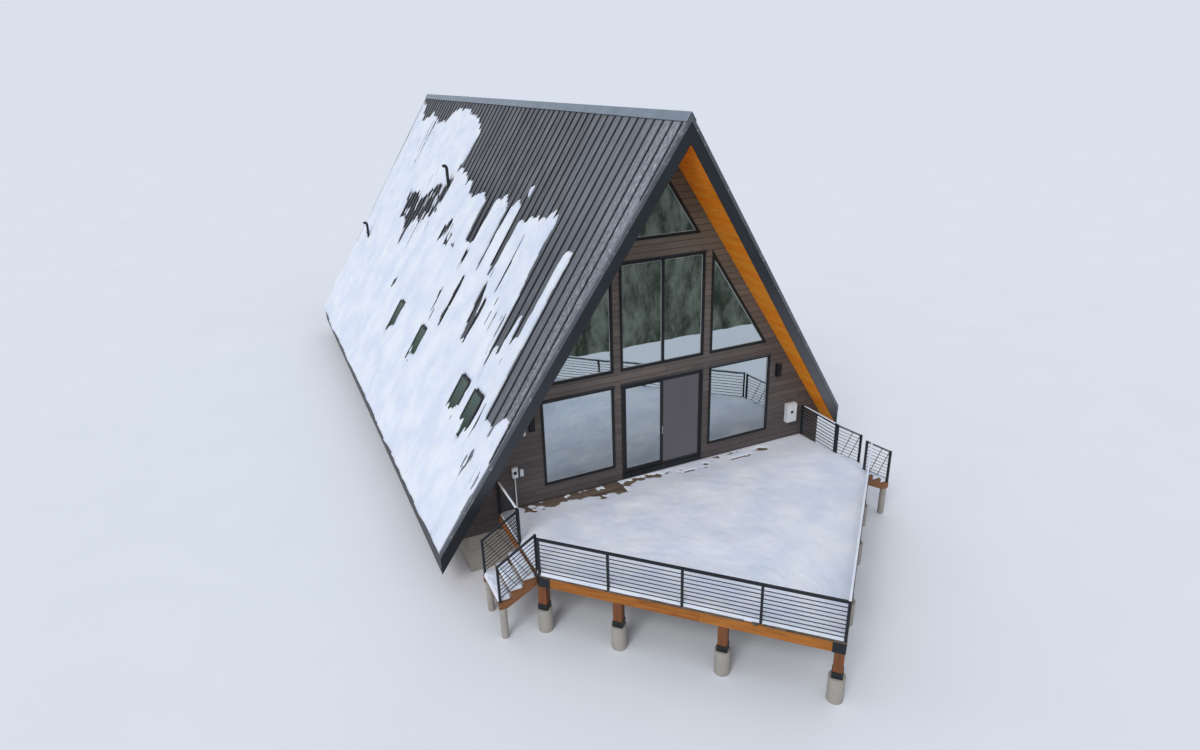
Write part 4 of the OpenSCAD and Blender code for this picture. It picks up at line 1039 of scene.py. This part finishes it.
def tread_snow():
    """Snow that lies on the treads of both stairs."""
    margin, depth = 0.05, 0.075
    for side in (-1, 1):
        for i in range(STEPS):
            x, y = np.meshgrid(np.linspace(DECK_X + i * STEP_D, DECK_X + (i + 1) * STEP_D, 14),
                               np.linspace(STAIR_Y[0] + margin, STAIR_Y[1] - margin, 40), indexing="ij")
            mask = np.ones(x.shape)
            mask[:1], mask[-1:], mask[:, :1], mask[:, -1:] = 0, 0, 0, 0
            thick = depth * (1 + 0.2 * noise_map(x.shape, (4, 12), 31 + i + 5 * side))
            places = np.stack([side * x, y, np.full(x.shape, DECK + TREAD_T - STEP_H * (i + 1))], -1)
            drift(f"snow_on_tread_{'left' if side < 0 else 'right'}_{i}", places, UP, soften(mask),
                  thick, 0.008)


def rail_snow():
    """Ridges of snow on the top rails where the photo shows them."""
    inset, half_width, cell, window, ring = 0.032, 0.027, 0.03, 9, 9
    stair_end, wall_end = -1.52, -0.25
    left, apex, right = inward(DECK_LINE, inset)[1:4]
    # Each run: its two ends, its height and its seed
    runs = [(apex, right, 0.034, 5),
            (Vector((left.x, stair_end)), Vector((left.x, wall_end)), 0.03, 6),
            (Vector((right.x, stair_end)), Vector((right.x, wall_end)), 0.02, 7)]
    for number, (a, b, high, seed) in enumerate(runs):
        steps = int((b - a).length / cell)
        rng = np.random.default_rng(seed)
        wave = np.convolve(rng.uniform(0.6, 1.2, steps + window), np.ones(window) / window, "valid")
        along = (b - a).normalized()
        side = Vector((-along.y, along.x))
        points, faces = [], []
        for i in range(steps + 1):
            centre = a.lerp(b, i / steps)
            grow = wave[min(i, len(wave) - 1)] * min(1.0, 0.3 + 6 * min(i, steps - i) / steps)
            for k in range(ring):
                angle = math.pi * k / (ring - 1)
                spot = centre + side * (half_width * math.cos(angle))
                points.append((spot.x, spot.y, RAIL_TOP + high * grow * math.sin(angle) - 0.001))
        for i in range(steps):
            for k in range(ring):
                p, n = i * ring + k, i * ring + (k + 1) % ring
                faces.append((p, p + ring, n + ring, n))
        faces.append(list(range(ring)))
        faces.append([steps * ring + k for k in range(ring)][::-1])
        piece(f"snow_on_rail_{number}", points, faces, SNOW, smooth=True)


soffit_boards()
deck_planks()
rim_beams()
corner_bolts()
tread_boards()
glazing_beads()
drip_caps()
door_handles()
fitting_details()
vent_elbows()
roof_snow(-1)
roof_snow(1)
deck_snow()
tread_snow()
rail_snow()

# Floor, backdrop, light and camera


def pale_floor():
    """Painted floor: even and pale, with faint clouds."""
    half_width, near, far = 260, -12.5, 900
    corners = [(-half_width, near, 0), (half_width, near, 0), (half_width, far, 0), (-half_width, far, 0)]
    sheet = bpy.data.meshes.new("floor")
    sheet.from_pydata(corners, [], [(0, 1, 2, 3)])
    made, t, at = blank("floor_paint")
    cloud = add(t, "TexNoise", {"Vector": at, "Scale": size(2500)})
    colour = add(t, "Mix", {0: cloud, 6: rgb("#dfe3ea"), 7: rgb("#e4e8ee")}, 2, data_type="RGBA")
    shader = add(t, "BsdfPrincipled", {"Base Color": colour, "Roughness": 0.9, "IOR": 1.45})
    add(t, "OutputMaterial", {"Surface": shader})
    sheet.materials.append(made)
    floor = bpy.data.objects.new("floor", sheet)
    bpy.context.scene.collection.objects.link(floor)


def surroundings():
    """Pale sky over dim, blotchy ground for the glass to mirror; the camera sees a plain pale backdrop."""
    world = bpy.data.worlds.new("studio")
    bpy.context.scene.world = world
    world.use_nodes = True
    t = world.node_tree
    t.nodes.clear()
    way = add(t, "TexCoord", out="Generated")
    z = add(t, "SeparateXYZ", {0: way}, "Z")
    upright = add(t, "Mapping", {"Vector": way, "Scale": (1, 1, 0.22)})
    # A direction has no millimetres: these blotches are about one degree wide and five high
    gloom = add(t, "TexNoise", {"Vector": upright, "Scale": 55.0, "Detail": 7.0, "Roughness": 0.78})
    gloom = add(t, "MapRange", {0: gloom, 1: 0.40, 2: 0.64})
    low = add(t, "Mix", {0: gloom, 6: rgb("#3c443d"), 7: rgb("#858d84")}, 2, data_type="RGBA")
    up = add(t, "MapRange", {0: z, 1: -0.02, 2: 0.06})
    sky = add(t, "Mix", {0: up, 6: low, 7: rgb("#e6ebf4")}, 2, data_type="RGBA")
    seen = add(t, "LightPath", out="Is Camera Ray")
    sky = add(t, "Mix", {0: seen, 6: sky, 7: rgb("#eaf1fe")}, 2, data_type="RGBA")
    add(t, "OutputWorld", {"Surface": add(t, "Background", {"Color": sky, "Strength": 0.85})})


def key_light():
    """One soft sun from the front left and above."""
    key = bpy.data.lights.new("key", "SUN")
    key.energy = 1.25
    key.angle = math.radians(25)
    key.color = (1.0, 0.98, 0.95)
    shines = Vector((0.55, 0.45, -0.60))
    lamp = bpy.data.objects.new("key", key)
    lamp.rotation_euler = shines.to_track_quat("-Z", "Y").to_euler()
    bpy.context.scene.collection.objects.link(lamp)


def photo_camera():
    """Camera fitted to the seams, the ridge, the fascias, the windows and the deck in the photo."""
    lens = bpy.data.cameras.new("camera")
    lens.sensor_width = 36.0
    lens.lens = 22.6657
    lens.clip_end = 1500
    eye = bpy.data.objects.new("camera", lens)
    eye.location = (-8.6919, -15.4011, 11.2772)
    eye.rotation_euler = (math.radians(67.9421), math.radians(1.5816), math.radians(-25.1716))
    bpy.context.scene.collection.objects.link(eye)
    bpy.context.scene.camera = eye
    bpy.context.scene.view_settings.view_transform = "Standard"


pale_floor()
surroundings()
key_light()
photo_camera()
